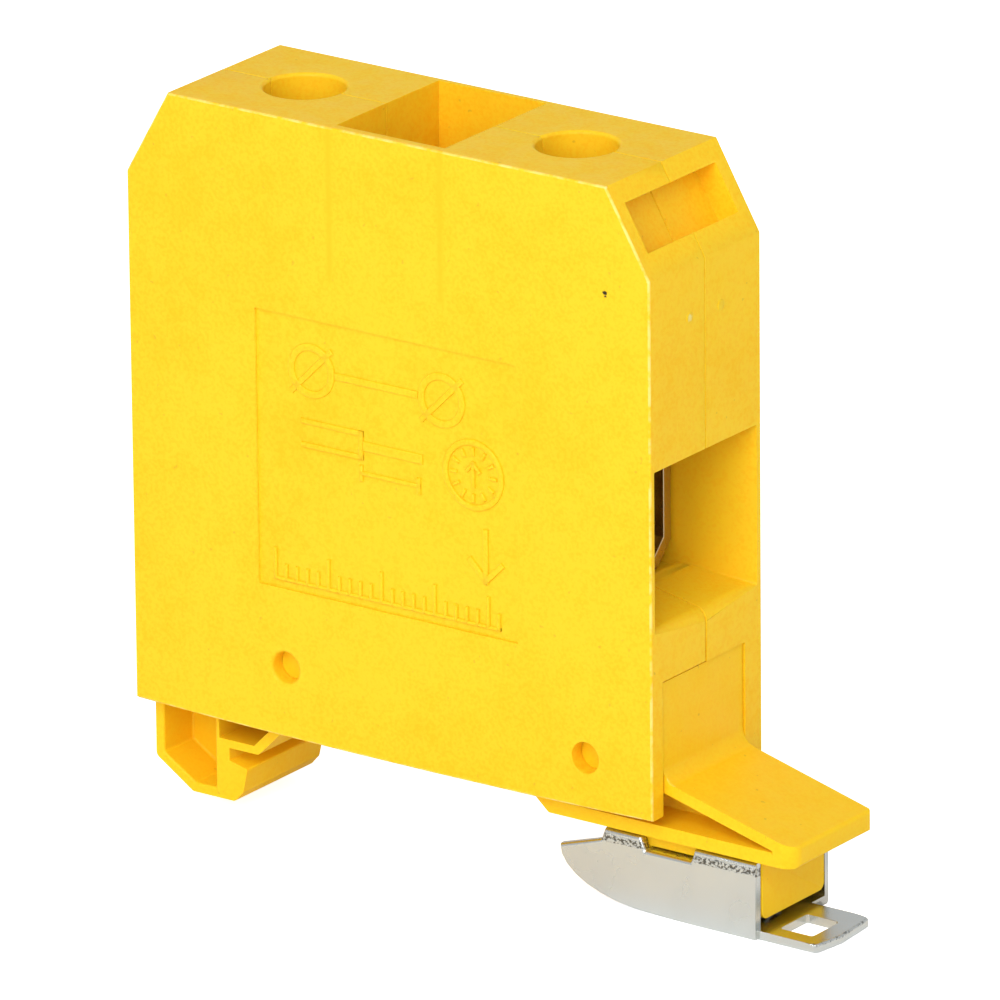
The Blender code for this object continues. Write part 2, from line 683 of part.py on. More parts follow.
def catch_side_outline():
    """One side plate of the catch: a boat-shaped nose, a step for the rail's edge and a notch in the top."""
    step = RAIL_WIDTH / 2 - CATCH_STEP
    bow_end = CATCH_LEFT + CATCH_BOW
    depth = CATCH_BOTTOM - CATCH_TIP_DROP
    bow = []
    for index in range(9):
        angle = math.radians(90 * index / 8)
        x = bow_end - CATCH_BOW * math.cos(angle)
        z = -CATCH_TIP_DROP - depth * math.sin(angle)
        bow.append((x, z))
    return bow + [
        (CATCH_RIGHT, -CATCH_BOTTOM),
        (CATCH_RIGHT, CATCH_TOP),
        (NOTCH_RIGHT + NOTCH_LEAN, CATCH_TOP),
        (NOTCH_RIGHT, NOTCH_FLOOR),
        (NOTCH_LEFT, NOTCH_FLOOR),
        (NOTCH_LEFT - NOTCH_LEAN, CATCH_TOP),
        (step + NOTCH_LEAN, CATCH_TOP),
        (step, -CATCH_WEDGE_DROP),
    ]


def make_rail_catch(look):
    """The rail catch: a sheet metal channel with a driver tab, two guide tongues and a spring lug."""
    outline = catch_side_outline()
    catch = prism("catch", outline, CATCH_FRONT, CATCH_FRONT + CATCH_SHEET)
    rear = prism("side", outline, CATCH_REAR - CATCH_SHEET, CATCH_REAR)
    floor = (-CATCH_BOTTOM, -CATCH_BOTTOM + CATCH_SHEET)
    bottom = box("bottom", (LUG_LEFT, CATCH_RIGHT), (CATCH_FRONT, CATCH_REAR), floor)
    tab_front = CATCH_FRONT + TAB_FRONT_INSET
    tab_rear = tab_front + TAB_WIDTH
    tab_right = CATCH_RIGHT + TAB_LENGTH
    tab = prism(
        "tab",
        rounded(
            [
                (CATCH_RIGHT - MM, tab_front),
                (tab_right - TAB_SKEW, tab_front, EDGE_MEDIUM),
                (tab_right, tab_front + TAB_WIDTH * TAB_KINK, TAB_BLEND),
                (tab_right - TAB_SKEW, tab_rear, EDGE_LARGE),
                (CATCH_RIGHT - MM, tab_rear),
            ]
        ),
        *floor,
        "Z",
    )
    hole_left = CATCH_RIGHT + TAB_HOLE_START
    hole_front = tab_front + TAB_HOLE_INSET
    hole = prism(
        "hole",
        rounded(
            [
                (hole_left, hole_front, EDGE_SMALL),
                (hole_left + TAB_HOLE_LENGTH, hole_front, EDGE_SMALL),
                (hole_left + TAB_HOLE_LENGTH, hole_front + TAB_HOLE_WIDTH, EDGE_SMALL),
                (hole_left, hole_front + TAB_HOLE_WIDTH, EDGE_SMALL),
            ]
        ),
        floor[0] - MM,
        floor[1] + MM,
        "Z",
    )
    lug = box(
        "lug",
        (LUG_LEFT, LUG_LEFT + CATCH_SHEET),
        (FOOT_OFFSET - LUG_WIDTH / 2, FOOT_OFFSET + LUG_WIDTH / 2),
        (floor[0], SPRING_AXIS + SPRING_HALF),
    )
    tongue = (NOTCH_FLOOR - CATCH_SHEET, NOTCH_FLOOR)
    span = (NOTCH_LEFT, NOTCH_RIGHT)
    reach = CATCH_SHEET + TONGUE_REACH
    front_tongue = box("tongue", span, (CATCH_FRONT, CATCH_FRONT + reach), tongue)
    rear_tongue = box("tongue", span, (CATCH_REAR - reach, CATCH_REAR), tongue)
    join(catch, rear, bottom, tab, lug, front_tongue, rear_tongue)
    cut(catch, hole)
    finish(catch, "rail_catch", look)
    recentre(catch, (CATCH_RIGHT, FOOT_OFFSET, -CATCH_BOTTOM))


def make_catch_spring(look):
    """The compression spring between the catch's lug and the guide's end wall."""
    radius = SPRING_HALF - SPRING_WIRE / 2
    first = SPRING_LEFT + SPRING_WIRE
    last = SPRING_RIGHT - FIT_GAP - SPRING_WIRE
    steps = int(SPRING_COILS * SPRING_COIL_STEPS)
    points = []
    for index in range(steps + 1):
        share = index / steps
        angle = 2 * math.pi * SPRING_COILS * share
        x = first + (last - first) * share
        y = FOOT_OFFSET + radius * math.cos(angle)
        z = SPRING_AXIS + radius * math.sin(angle)
        points.append((x, y, z, 1.0))
    path = bpy.data.curves.new("catch_spring", "CURVE")
    path.dimensions = "3D"
    path.bevel_depth = SPRING_WIRE / 2
    path.bevel_resolution = 1
    path.use_fill_caps = True
    spline = path.splines.new("POLY")
    spline.points.add(len(points) - 1)
    for point, place in zip(spline.points, points):
        point.co = place
    path.materials.append(look)
    spring = bpy.data.objects.new("catch_spring", path)
    bpy.context.scene.collection.objects.link(spring)


def make_clamp_cage(name, side, look):
    """A clamp cage: a bent steel box with chamfered lower corners and a thick, threaded head."""
    centre = clamp_centre(side)
    ends = (centre - CAGE_LENGTH / 2, centre + CAGE_LENGTH / 2)
    inner = WIRE_SPACE / 2
    lower = CAGE_CHAMFER - CAGE_SHEET * (2 - math.sqrt(2))
    outside = rounded(
        [
            (-CAGE_HALF, CAGE_BOTTOM + CAGE_CHAMFER),
            (-CAGE_HALF + CAGE_CHAMFER, CAGE_BOTTOM),
            (CAGE_HALF - CAGE_CHAMFER, CAGE_BOTTOM),
            (CAGE_HALF, CAGE_BOTTOM + CAGE_CHAMFER),
            (CAGE_HALF, CAGE_TOP, CAGE_ROUND),
            (-CAGE_HALF, CAGE_TOP, CAGE_ROUND),
        ]
    )
    floor = CAGE_BOTTOM + CAGE_SHEET
    inside = [
        (-inner, floor + lower),
        (-inner + lower, floor),
        (inner - lower, floor),
        (inner, floor + lower),
        (inner, CAGE_ROOF),
        (-inner, CAGE_ROOF),
    ]
    cage = prism("cage", outside, *ends, "X")
    hollow = prism("hollow", inside, ends[0] - MM, ends[1] + MM, "X")
    bore = circle((centre, 0), THREAD_DIAMETER / 2 + THREAD_PLAY)
    cut(cage, hollow, prism("bore", bore, CAGE_ROOF - MM, CAGE_TOP + MM, "Z"))
    finish(cage, name, look)
    recentre(cage, (centre, 0, CAGE_ROOF))


def make_clamp_screw(name, side, look):
    """A slotted clamp screw that stands on the current bar and runs in the cage's head."""
    centre = clamp_centre(side)
    radius = THREAD_DIAMETER / 2
    head = HEAD_DIAMETER / 2
    tip = BAR_TOP + BAR_PLAY
    seat = CHAMBER_TOP + CAGE_PLAY
    top = seat + HEAD_HEIGHT
    profile = [
        (0, tip),
        (radius - SCREW_POINT, tip),
        (radius, tip + SCREW_POINT),
        (radius, seat),
        (head - HEAD_EDGE, seat),
        (head, seat + HEAD_EDGE),
        (head, top - HEAD_EDGE),
        (head - HEAD_EDGE, top),
        (0, top),
    ]
    shape = bmesh.new()
    corners = [shape.verts.new((r, 0, z)) for r, z in profile]
    edges = [shape.edges.new(pair) for pair in zip(corners, corners[1:])]
    bmesh.ops.spin(
        shape,
        geom=corners + edges,
        cent=(0, 0, 0),
        axis=(0, 0, 1),
        angle=2 * math.pi,
        steps=ROUND_SIDES,
        use_merge=True,
    )
    bmesh.ops.remove_doubles(shape, verts=shape.verts, dist=0.001 * MM)
    bmesh.ops.recalc_face_normals(shape, faces=shape.faces)
    bmesh.ops.translate(shape, vec=(centre, 0, 0), verts=shape.verts)
    screw = placed("screw", shape)
    slot = (centre - HEAD_SLOT_WIDTH / 2, centre + HEAD_SLOT_WIDTH / 2)
    cut(screw, box("slot", slot, (-HEAD_DIAMETER, HEAD_DIAMETER), (top - HEAD_SLOT_DEPTH, top + MM)))
    finish(screw, name, look)
    recentre(screw, (centre, 0, tip))


def make_current_bar(look):
    """The current bar that joins the two clamps."""
    left, right = bar_range()
    half = BAR_WIDTH / 2
    bar = box("bar", (left, right), (-half, half), (BAR_BOTTOM, BAR_TOP))
    finish(bar, "current_bar", look)


def main():
    """Builds every piece."""
    clear_scene()
    housing = material("housing_yellow", (0.93, 0.62, 0.03), 0.42)
    foot = material("foot_yellow", (0.92, 0.57, 0.02), 0.42)
    catch = material("nickel_plate", (0.72, 0.72, 0.70), 0.28, 1.0)
    spring = material("spring_steel", (0.45, 0.45, 0.46), 0.3, 1.0)
    cage = material("chromated_steel", (0.55, 0.44, 0.24), 0.35, 1.0)
    screw = material("zinc_screw", (0.62, 0.62, 0.60), 0.3, 1.0)
    bar = material("tinned_copper", (0.66, 0.62, 0.56), 0.3, 1.0)
    make_front_shell(housing)
    make_rear_shell(housing)
    make_rail_foot(foot)
    make_rail_catch(catch)
    make_catch_spring(spring)
    make_current_bar(bar)
    for name, side in SIDES:
        make_clamp_cage(f"{name}_clamp_cage", side, cage)
        make_clamp_screw(f"{name}_clamp_screw", side, screw)


main()
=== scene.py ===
"""Looks of a DIN rail terminal block: a yellow split housing, a rail foot, a sprung catch and two screw clamps.

Everything is in metres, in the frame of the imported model: +X runs across the rail towards the catch, +Y along
the rail and +Z away from the rail.
"""

from __future__ import annotations

import logging
import math
from collections.abc import Callable
from dataclasses import dataclass, field
from enum import Enum

import bmesh
import bpy
from mathutils import Matrix, Vector


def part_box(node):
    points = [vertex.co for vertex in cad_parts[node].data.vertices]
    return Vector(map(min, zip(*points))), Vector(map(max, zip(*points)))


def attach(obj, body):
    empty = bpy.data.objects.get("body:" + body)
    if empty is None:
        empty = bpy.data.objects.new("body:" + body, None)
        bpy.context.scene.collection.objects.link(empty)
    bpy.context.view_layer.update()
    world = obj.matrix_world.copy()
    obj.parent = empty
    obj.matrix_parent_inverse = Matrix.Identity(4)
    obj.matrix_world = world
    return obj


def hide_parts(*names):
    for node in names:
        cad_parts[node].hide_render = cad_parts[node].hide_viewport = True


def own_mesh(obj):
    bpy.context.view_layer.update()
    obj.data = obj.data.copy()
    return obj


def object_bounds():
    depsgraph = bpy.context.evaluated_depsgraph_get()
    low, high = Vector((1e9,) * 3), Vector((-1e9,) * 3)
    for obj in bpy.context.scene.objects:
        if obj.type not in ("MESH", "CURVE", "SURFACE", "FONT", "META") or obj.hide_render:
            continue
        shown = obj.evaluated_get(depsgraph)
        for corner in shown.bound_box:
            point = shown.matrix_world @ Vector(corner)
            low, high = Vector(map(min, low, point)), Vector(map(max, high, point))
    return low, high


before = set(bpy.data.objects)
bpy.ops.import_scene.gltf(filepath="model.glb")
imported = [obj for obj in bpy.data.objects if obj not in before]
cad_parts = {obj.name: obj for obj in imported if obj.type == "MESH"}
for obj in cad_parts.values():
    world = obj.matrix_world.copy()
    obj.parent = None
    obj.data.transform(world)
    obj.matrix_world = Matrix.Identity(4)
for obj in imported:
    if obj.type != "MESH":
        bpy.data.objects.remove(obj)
CAD_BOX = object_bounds()

LOG = logging.getLogger("terminal_block")
MM = 0.001
HAIR = 0.01 * MM
# Name of the face mask for rounds that show wear with a painted reflection.
WEAR_AND_REFLECTION = "wear_and_reflection"
Colour = tuple[float, float, float, float]
Spot = tuple[float, float, float, float]
DIRT: Colour = (0.03, 0.022, 0.01, 1.0)
DUST: Colour = (0.50, 0.30, 0.02, 1.0)
# Painted dark reflections: the specks in a torn metal rim, which stand in for dark surroundings mirrored by its
# facets.
DARK_REFLECTION_SPECK: Colour = (0.07, 0.065, 0.05, 1.0)


class Body(Enum):
    """The rigid bodies that pieces ride on."""

    HOUSING = "housing"
    CATCH = "catch"
    LEFT_CAGE = "left_cage"
    LEFT_SCREW = "left_screw"
    RIGHT_CAGE = "right_cage"
    RIGHT_SCREW = "right_screw"


class Side(Enum):
    """The two ends of the block, with the sign of their place along X."""

    LEFT = -1
    RIGHT = 1

    @property
    def word(self) -> str:
        """The side's name as node names spell it."""
        return self.name.lower()


class Plane(Enum):
    """The planes that a flat pattern can lie on."""

    FRONT = "front"
    END = "end"


# ---------------------------------------------------------------------------------------------------------
# Node building
# ---------------------------------------------------------------------------------------------------------


@dataclass
class NodeSheet:
    """A short way to write a shader's nodes and links.

    Attributes:
        tree: the node tree that is written to.
    """

    tree: bpy.types.NodeTree

    def add(self, kind: str, inputs: dict | None = None, **settings: object) -> bpy.types.Node:
        """Adds one node.

        Args:
            kind: the node's type name, without the leading ShaderNode.
            inputs: input name or number to a value, or to an output socket that is linked to it.
            settings: the node's own properties.

        Returns:
            The new node.
        """
        made = self.tree.nodes.new(f"ShaderNode{kind}")
        for name, value in settings.items():
            setattr(made, name, value)
        for name, value in (inputs or {}).items():
            self.feed(made.inputs[name], value)
        return made

    def feed(self, socket: bpy.types.NodeSocket, value: object) -> None:
        """Links an output socket to an input socket, or sets the input's value."""
        if isinstance(value, bpy.types.NodeSocket):
            self.tree.links.new(value, socket)
        else:
            socket.default_value = value

    def math(self, operation: str, first: object, second: object = 0.0, clamp: bool = False) -> bpy.types.NodeSocket:
        """The result of a Math node on two values or sockets."""
        return self.add("Math", {0: first, 1: second}, operation=operation, use_clamp=clamp).outputs[0]

    def remap(
        self, value: object, low: float, high: float, out_low: float = 0.0, out_high: float = 1.0
    ) -> bpy.types.NodeSocket:
        """A value carried from one range to another, smoothly and with both ends held."""
        inputs = {"Value": value, "From Min": low, "From Max": high, "To Min": out_low, "To Max": out_high}
        return self.add("MapRange", inputs, interpolation_type="SMOOTHSTEP").outputs[0]

    def mix(self, share: object, first: object, second: object) -> bpy.types.NodeSocket:
        """Two colours mixed by a share."""
        made = self.add("Mix", data_type="RGBA", blend_type="MIX")
        self.feed(made.inputs["Factor"], share)
        self.feed(made.inputs[6], first)
        self.feed(made.inputs[7], second)
        return made.outputs[2]

    def noise(
        self, place: bpy.types.NodeSocket, scale: object, detail: float = 2.0, rough: float = 0.5
    ) -> bpy.types.NodeSocket:
        """A noise value over a place."""
        inputs = {"Vector": place, "Scale": scale, "Detail": detail, "Roughness": rough}
        return self.add("TexNoise", inputs).outputs["Fac"]

    def object_place(self, stretch: tuple[float, float, float] = (1.0, 1.0, 1.0)) -> bpy.types.NodeSocket:
        """Object coordinates, scaled along each axis."""
        place = self.add("TexCoord").outputs["Object"]
        return self.add("Mapping", {"Vector": place, "Scale": stretch}).outputs[0]


def new_group(name: str, inputs: dict[str, str], outputs: dict[str, str]) -> tuple[bpy.types.NodeTree, NodeSheet]:
    """Starts a shader node group with named sockets.

    Args:
        name: the group's name.
        inputs: socket name to its kind, such as Float or Color.
        outputs: the same for what the group puts out.

    Returns:
        The group and the sheet that writes into it.
    """
    group = bpy.data.node_groups.new(name, "ShaderNodeTree")
    for words, way in ((inputs, "INPUT"), (outputs, "OUTPUT")):
        for socket, kind in words.items():
            group.interface.new_socket(socket, in_out=way, socket_type=f"NodeSocket{kind}")
    return group, NodeSheet(group)


class SurfaceGroups:
    """The shader node groups that more than one finish uses, each built once."""

    def __init__(self) -> None:
        """Builds every group."""
        self.wear_and_reflection = self._edge_wear_and_reflection()
        self.moulding = self._moulding()
        self.plate = self._plate()

    @staticmethod
    def _edge_wear_and_reflection() -> bpy.types.NodeTree:
        """A broken line along the marked rounds, where their wear and flash carry a painted reflection."""
        group, sheet = new_group("edge_wear_and_reflection", {"Grain": "Float"}, {"Mask": "Float"})
        given = group.nodes.new("NodeGroupInput")
        result = group.nodes.new("NodeGroupOutput")
        marked = sheet.add("Attribute", attribute_name=WEAR_AND_REFLECTION).outputs["Fac"]
        breaks = sheet.noise(sheet.object_place(), given.outputs["Grain"], 3.0, 0.6)
        sheet.feed(result.inputs["Mask"], sheet.math("MULTIPLY", marked, sheet.remap(breaks, 0.38, 0.62)))
        return group

    @staticmethod
    def _moulding() -> bpy.types.NodeTree:
        """The skin of a moulded plastic: slow clouds of colour, fine grain and faint drag marks."""
        inputs = {"Base": "Color", "Deep": "Color", "Cloud Scale": "Float", "Grain Scale": "Float"}
        outputs = {"Color": "Color", "Roughness": "Float", "Height": "Float"}
        group, sheet = new_group("moulding", inputs, outputs)
        given = group.nodes.new("NodeGroupInput")
        result = group.nodes.new("NodeGroupOutput")
        place = sheet.object_place()
        cloud = sheet.noise(place, given.outputs["Cloud Scale"], 3.0, 0.55)
        mottle = sheet.noise(place, sheet.math("MULTIPLY", given.outputs["Cloud Scale"], 9.0), 2.0)
        grain = sheet.noise(place, given.outputs["Grain Scale"], 2.0, 0.6)
        share = sheet.math("ADD", sheet.remap(cloud, 0.35, 0.70, 0.0, 0.50), sheet.remap(mottle, 0.4, 0.7, 0.0, 0.3))
        share = sheet.math("ADD", share, sheet.remap(grain, 0.40, 0.66, -0.25, 0.45), True)
        colour = sheet.mix(share, given.outputs["Base"], given.outputs["Deep"])
        dust = sheet.remap(sheet.noise(place, 1700.0, 1.0), 0.755, 0.80, 0.0, 0.35)
        sheet.feed(result.inputs["Color"], sheet.mix(dust, colour, DUST))
        drag = sheet.noise(sheet.object_place((180.0, 2600.0, 2600.0)), 1.0, 2.0)
        marks = sheet.remap(drag, 0.66, 0.78, 0.0, -0.5)
        swell = sheet.math("MULTIPLY", cloud, 3.0)
        height = sheet.math("ADD", sheet.math("ADD", grain, marks), swell)
        sheet.feed(result.inputs["Height"], height)
        rough = sheet.remap(mottle, 0.3, 0.7, 0.40, 0.50)
        rough = sheet.math("ADD", rough, sheet.remap(grain, 0.3, 0.7, -0.03, 0.03))
        sheet.feed(result.inputs["Roughness"], rough)
        return group

    @staticmethod
    def _plate() -> bpy.types.NodeTree:
        """The skin of a plated or drawn metal: directional lines, soft clouds and small dark pits."""
        inputs = {"Base": "Color", "Dark": "Color", "Line Scale": "Float", "Low": "Float", "High": "Float"}
        outputs = {"Color": "Color", "Roughness": "Float", "Height": "Float"}
        group, sheet = new_group("plate", inputs, outputs)
        given = group.nodes.new("NodeGroupInput")
        result = group.nodes.new("NodeGroupOutput")
        place = sheet.object_place()
        cloud = sheet.noise(place, 260.0, 3.0)
        lines = sheet.noise(sheet.object_place((0.06, 1.0, 1.0)), given.outputs["Line Scale"], 2.0)
        pits = sheet.remap(sheet.noise(place, 2100.0, 1.0), 0.73, 0.79)
        tone = sheet.math("ADD", sheet.remap(cloud, 0.4, 0.75, 0.0, 0.22), sheet.math("MULTIPLY", pits, 0.5), True)
        sheet.feed(result.inputs["Color"], sheet.mix(tone, given.outputs["Base"], given.outputs["Dark"]))
        spread = sheet.add("MapRange", {"Value": cloud, "From Min": 0.3, "From Max": 0.7})
        sheet.feed(spread.inputs["To Min"], given.outputs["Low"])
        sheet.feed(spread.inputs["To Max"], given.outputs["High"])
        sheet.feed(result.inputs["Roughness"], spread.outputs[0])
        sheet.feed(result.inputs["Height"], sheet.math("SUBTRACT", lines, pits))
        return group


@dataclass(frozen=True)
class PlasticFinish:
    """A moulded polyamide.

    Attributes:
        name: the material's name.
        base: colour of the open faces.
        deep: colour where the resin lies thicker, and of the painted shade of the sink lines.
        pale: colour of the thin flash along the edges, with a painted highlight laid over it.
        cloud_scale: cycles per metre of the slow colour change.
        grain_scale: cycles per metre of the surface grain.
        grain_depth: depth of the grain in metres.
        glow: share of light that scatters inside the plastic.
        specks: places of small dark inclusions, as (x, y, z, radius) in metres.
        chips: places of small pale knocks, the same way.
        sinks: faint upright sink lines on the front face, painted as shade, as (x, half width) in metres.
        sink_low: the height where they start.
        sink_front: Y in front of which they show.
    """

    name: str
    base: Colour
    deep: Colour
    pale: Colour
    cloud_scale: float = 70.0
    grain_scale: float = 3200.0
    grain_depth: float = 0.004 * MM
    glow: float = 0.18
    specks: tuple[Spot, ...] = ()
    chips: tuple[Spot, ...] = ()
    sinks: tuple[tuple[float, float], ...] = ()
    sink_low: float = 0.0
    sink_front: float = -7.0 * MM

    def make(self, groups: SurfaceGroups) -> bpy.types.Material:
        """Makes the material from the shared groups."""
        made, sheet, shader = new_material(self.name)
        skin = sheet.add("Group", node_tree=groups.moulding)
        skin.inputs["Base"].default_value = self.base
        skin.inputs["Deep"].default_value = self.deep
        skin.inputs["Cloud Scale"].default_value = self.cloud_scale
        skin.inputs["Grain Scale"].default_value = self.grain_scale
        # Painted highlight: a pale broken line along the marked rounds, over the mould's thin flash.
        wear_and_reflection = sheet.add("Group", node_tree=groups.wear_and_reflection)
        wear_and_reflection.inputs["Grain"].default_value = 700.0
        share = sheet.math("MULTIPLY", wear_and_reflection.outputs["Mask"], 0.75)
        colour = sheet.mix(share, skin.outputs["Color"], self.pale)
        place = sheet.add("TexCoord").outputs["Object"]
        for places, tint in ((self.specks, DIRT), (self.chips, self.pale)):
            for x, y, z, radius in places:
                ragged = sheet.math("MULTIPLY", sheet.noise(place, 5200.0, 1.0), radius)
                inputs = {0: place, 1: (x, y, z)}
                away = sheet.add("VectorMath", inputs, operation="DISTANCE").outputs["Value"]
                spot = sheet.remap(sheet.math("ADD", away, ragged), radius * 1.3, radius * 0.8)
                colour = sheet.mix(spot, colour, tint)
        # Painted shade: faint darker upright lines where the front face sinks over the thick walls behind it.
        colour = sheet.mix(self.sink_shade_mask(sheet, place), colour, self.deep)
        sheet.feed(shader.inputs["Base Color"], colour)
        sheet.feed(shader.inputs["Roughness"], skin.outputs["Roughness"])
        bump = sheet.add("Bump", {"Height": skin.outputs["Height"], "Distance": self.grain_depth, "Strength": 1.0})
        sheet.feed(shader.inputs["Normal"], bump.outputs[0])
        shader.inputs["IOR"].default_value = 1.46
        shader.inputs["Specular IOR Level"].default_value = 0.20
        shader.inputs["Subsurface Weight"].default_value = self.glow
        shader.inputs["Subsurface Radius"].default_value = (1.0, 0.45, 0.08)
        shader.inputs["Subsurface Scale"].default_value = 0.9 * MM
        return made

    def sink_shade_mask(self, sheet: NodeSheet, place: bpy.types.NodeSocket) -> bpy.types.NodeSocket:
        """Where the painted shade of the sink lines lies, as a value from 0 to 1.

        Args:
            sheet: the sheet of the material.
            place: the object coordinates.

        Returns:
            The mask's socket.
        """
        split = sheet.add("SeparateXYZ", {0: place})
        mask = 0.0
        for x, half in self.sinks:
            away = sheet.math("ABSOLUTE", sheet.math("SUBTRACT", split.outputs["X"], x))
            mask = sheet.math("ADD", mask, sheet.remap(away, half, 0.0, 0.0, 0.8), True)
        high = sheet.remap(split.outputs["Z"], self.sink_low, self.sink_low + 1.5 * MM)
        front = sheet.math("LESS_THAN", split.outputs["Y"], self.sink_front)
        return sheet.math("MULTIPLY", mask, sheet.math("MULTIPLY", high, front))


@dataclass(frozen=True)
class MetalFinish:
    """A plated or drawn metal.

    Attributes:
        name: the material's name.
        base: colour of the clean metal.
        dark: colour of its pits and cloudy places.
        line_scale: cycles per metre across the rolling or drawing lines.
        smooth: lowest roughness.
        dull: highest roughness.
        line_depth: depth of the lines in metres.
        torn_above: height above which the sheet's punched rim is torn and rough, with dark specks of painted
            reflection, if it is at all.
    """

    name: str
    base: Colour
    dark: Colour
    line_scale: float
    smooth: float
    dull: float
    line_depth: float
    torn_above: float | None = None

    def make(self, groups: SurfaceGroups) -> bpy.types.Material:
        """Makes the material from the shared groups."""
        made, sheet, shader = new_material(self.name)
        skin = sheet.add("Group", node_tree=groups.plate)
        skin.inputs["Base"].default_value = self.base
        skin.inputs["Dark"].default_value = self.dark
        skin.inputs["Line Scale"].default_value = self.line_scale
        skin.inputs["Low"].default_value = self.smooth
        skin.inputs["High"].default_value = self.dull
        colour = skin.outputs["Color"]
        rough = skin.outputs["Roughness"]
        height = skin.outputs["Height"]
        if self.torn_above is not None:
            place = sheet.object_place()
            level = sheet.add("SeparateXYZ", {0: place}).outputs["Z"]
            ragged = sheet.math("MULTIPLY", sheet.noise(place, 2600.0, 2.0), 0.55 * MM)
            start = self.torn_above + 0.27 * MM
            ragged = sheet.math("ADD", level, ragged)
            band = sheet.remap(ragged, start, start + 0.10 * MM)
            band = sheet.math("MULTIPLY", band, sheet.remap(ragged, start + 0.55 * MM, start + 0.70 * MM, 1.0, 0.15))
            wear_and_reflection = sheet.add("Group", node_tree=groups.wear_and_reflection)
            wear_and_reflection.inputs["Grain"].default_value = 2400.0
            torn = sheet.math("MAXIMUM", band, wear_and_reflection.outputs["Mask"])
            # Painted dark reflections: dark specks in the colour of the torn band and the marked rounds; the bump
            # and the added roughness are the real tear.
            chips = sheet.noise(place, 4200.0, 3.0, 0.62)
            dark = sheet.math("MULTIPLY", torn, sheet.remap(chips, 0.54, 0.44, 0.0, 0.9))
            colour = sheet.mix(dark, colour, DARK_REFLECTION_SPECK)
            rough = sheet.math("ADD", rough, sheet.math("MULTIPLY", torn, 0.06))
            height = sheet.math("ADD", height, sheet.math("MULTIPLY", sheet.math("MULTIPLY", torn, chips), 90.0))
        sheet.feed(shader.inputs["Base Color"], colour)
        sheet.feed(shader.inputs["Roughness"], rough)
        shader.inputs["Metallic"].default_value = 1.0
        bump = sheet.add("Bump", {"Height": height, "Distance": self.line_depth, "Strength": 1.0})
        sheet.feed(shader.inputs["Normal"], bump.outputs[0])
        return made


def new_material(name: str) -> tuple[bpy.types.Material, NodeSheet, bpy.types.Node]:
    """Starts a material.

    Args:
        name: the material's name.

    Returns:
        The material, the sheet that writes into it and its Principled shader.
    """
    made = bpy.data.materials.new(name)
    made.use_nodes = True
    return made, NodeSheet(made.node_tree), made.node_tree.nodes["Principled BSDF"]


HOUSING_YELLOW = PlasticFinish(
    name="housing_yellow",
    base=(0.975, 0.620, 0.018, 1.0),
    deep=(0.960, 0.540, 0.008, 1.0),
    pale=(0.985, 0.770, 0.230, 1.0),
    specks=((19.53 * MM, -7.25 * MM, 44.52 * MM, 0.32 * MM), (19.60 * MM, -7.25 * MM, 44.25 * MM, 0.20 * MM)),
    chips=(
        (23.62 * MM, -2.0 * MM, 41.9 * MM, 0.42 * MM),
        (19.65 * MM, -7.20 * MM, 52.8 * MM, 0.24 * MM),
        (23.5 * MM, -7.20 * MM, 46.1 * MM, 0.22 * MM),
    ),
    sinks=((-6.0 * MM, 0.5 * MM), (4.35 * MM, 0.5 * MM)),
    sink_low=40.0 * MM,
)
FOOT_YELLOW = PlasticFinish(
    name="foot_yellow",
    base=(0.970, 0.605, 0.012, 1.0),
    deep=(0.960, 0.555, 0.008, 1.0),
    pale=(0.980, 0.740, 0.180, 1.0),
)
NICKEL_PLATE = MetalFinish(
    name="nickel_plate",
    base=(0.690, 0.720, 0.705, 1.0),
    dark=(0.560, 0.580, 0.560, 1.0),
    line_scale=5200.0,
    smooth=0.16,
    dull=0.30,
    line_depth=0.0006 * MM,
    torn_above=-0.25 * MM,
)
SPRING_STEEL = MetalFinish(
    name="spring_steel",
    base=(0.46, 0.46, 0.47, 1.0),
    dark=(0.20, 0.20, 0.21, 1.0),
    line_scale=4200.0,
    smooth=0.22,
    dull=0.36,
    line_depth=0.001 * MM,
)
CHROMATED_STEEL = MetalFinish(
    name="chromated_steel",
    base=(0.560, 0.455, 0.270, 1.0),
    dark=(0.300, 0.230, 0.150, 1.0),
    line_scale=2600.0,
    smooth=0.18,
    dull=0.34,
    line_depth=0.001 * MM,
)
ZINC_SCREW = MetalFinish(
    name="zinc_screw",
    base=(0.640, 0.640, 0.620, 1.0),
    dark=(0.360, 0.350, 0.330, 1.0),
    line_scale=3200.0,
    smooth=0.20,
    dull=0.36,
    line_depth=0.001 * MM,
)
TINNED_COPPER = MetalFinish(
    name="tinned_copper",
    base=(0.680, 0.640, 0.580, 1.0),
    dark=(0.480, 0.400, 0.320, 1.0),
    line_scale=2200.0,
    smooth=0.24,
    dull=0.42,
    line_depth=0.0012 * MM,
)


# ---------------------------------------------------------------------------------------------------------
# Mesh building
# ---------------------------------------------------------------------------------------------------------


# Two edges run the same way if the cosine between them is at least SAME_WAY. A round needs ROOM times its width.
SAME_WAY = 0.93
ROOM = 2.3


def copy_of_node(node: str) -> bmesh.types.BMesh:
    """A CAD node's shape as one clean mesh: its loose triangles are merged and its flat faces made whole."""
    shape = bmesh.new()
    shape.from_mesh(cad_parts[node].data)
    bmesh.ops.remove_doubles(shape, verts=shape.verts, dist=0.0005 * MM)
    bmesh.ops.dissolve_limit(
        shape, angle_limit=math.radians(0.4), verts=shape.verts, edges=shape.edges, use_dissolve_boundaries=False
    )
    shape.normal_update()
    return shape


def all_parts(shape: bmesh.types.BMesh) -> list[bmesh.types.BMVert | bmesh.types.BMEdge | bmesh.types.BMFace]:
    """A shape's vertices, edges and faces in one list."""
    return [*shape.verts, *shape.edges, *shape.faces]


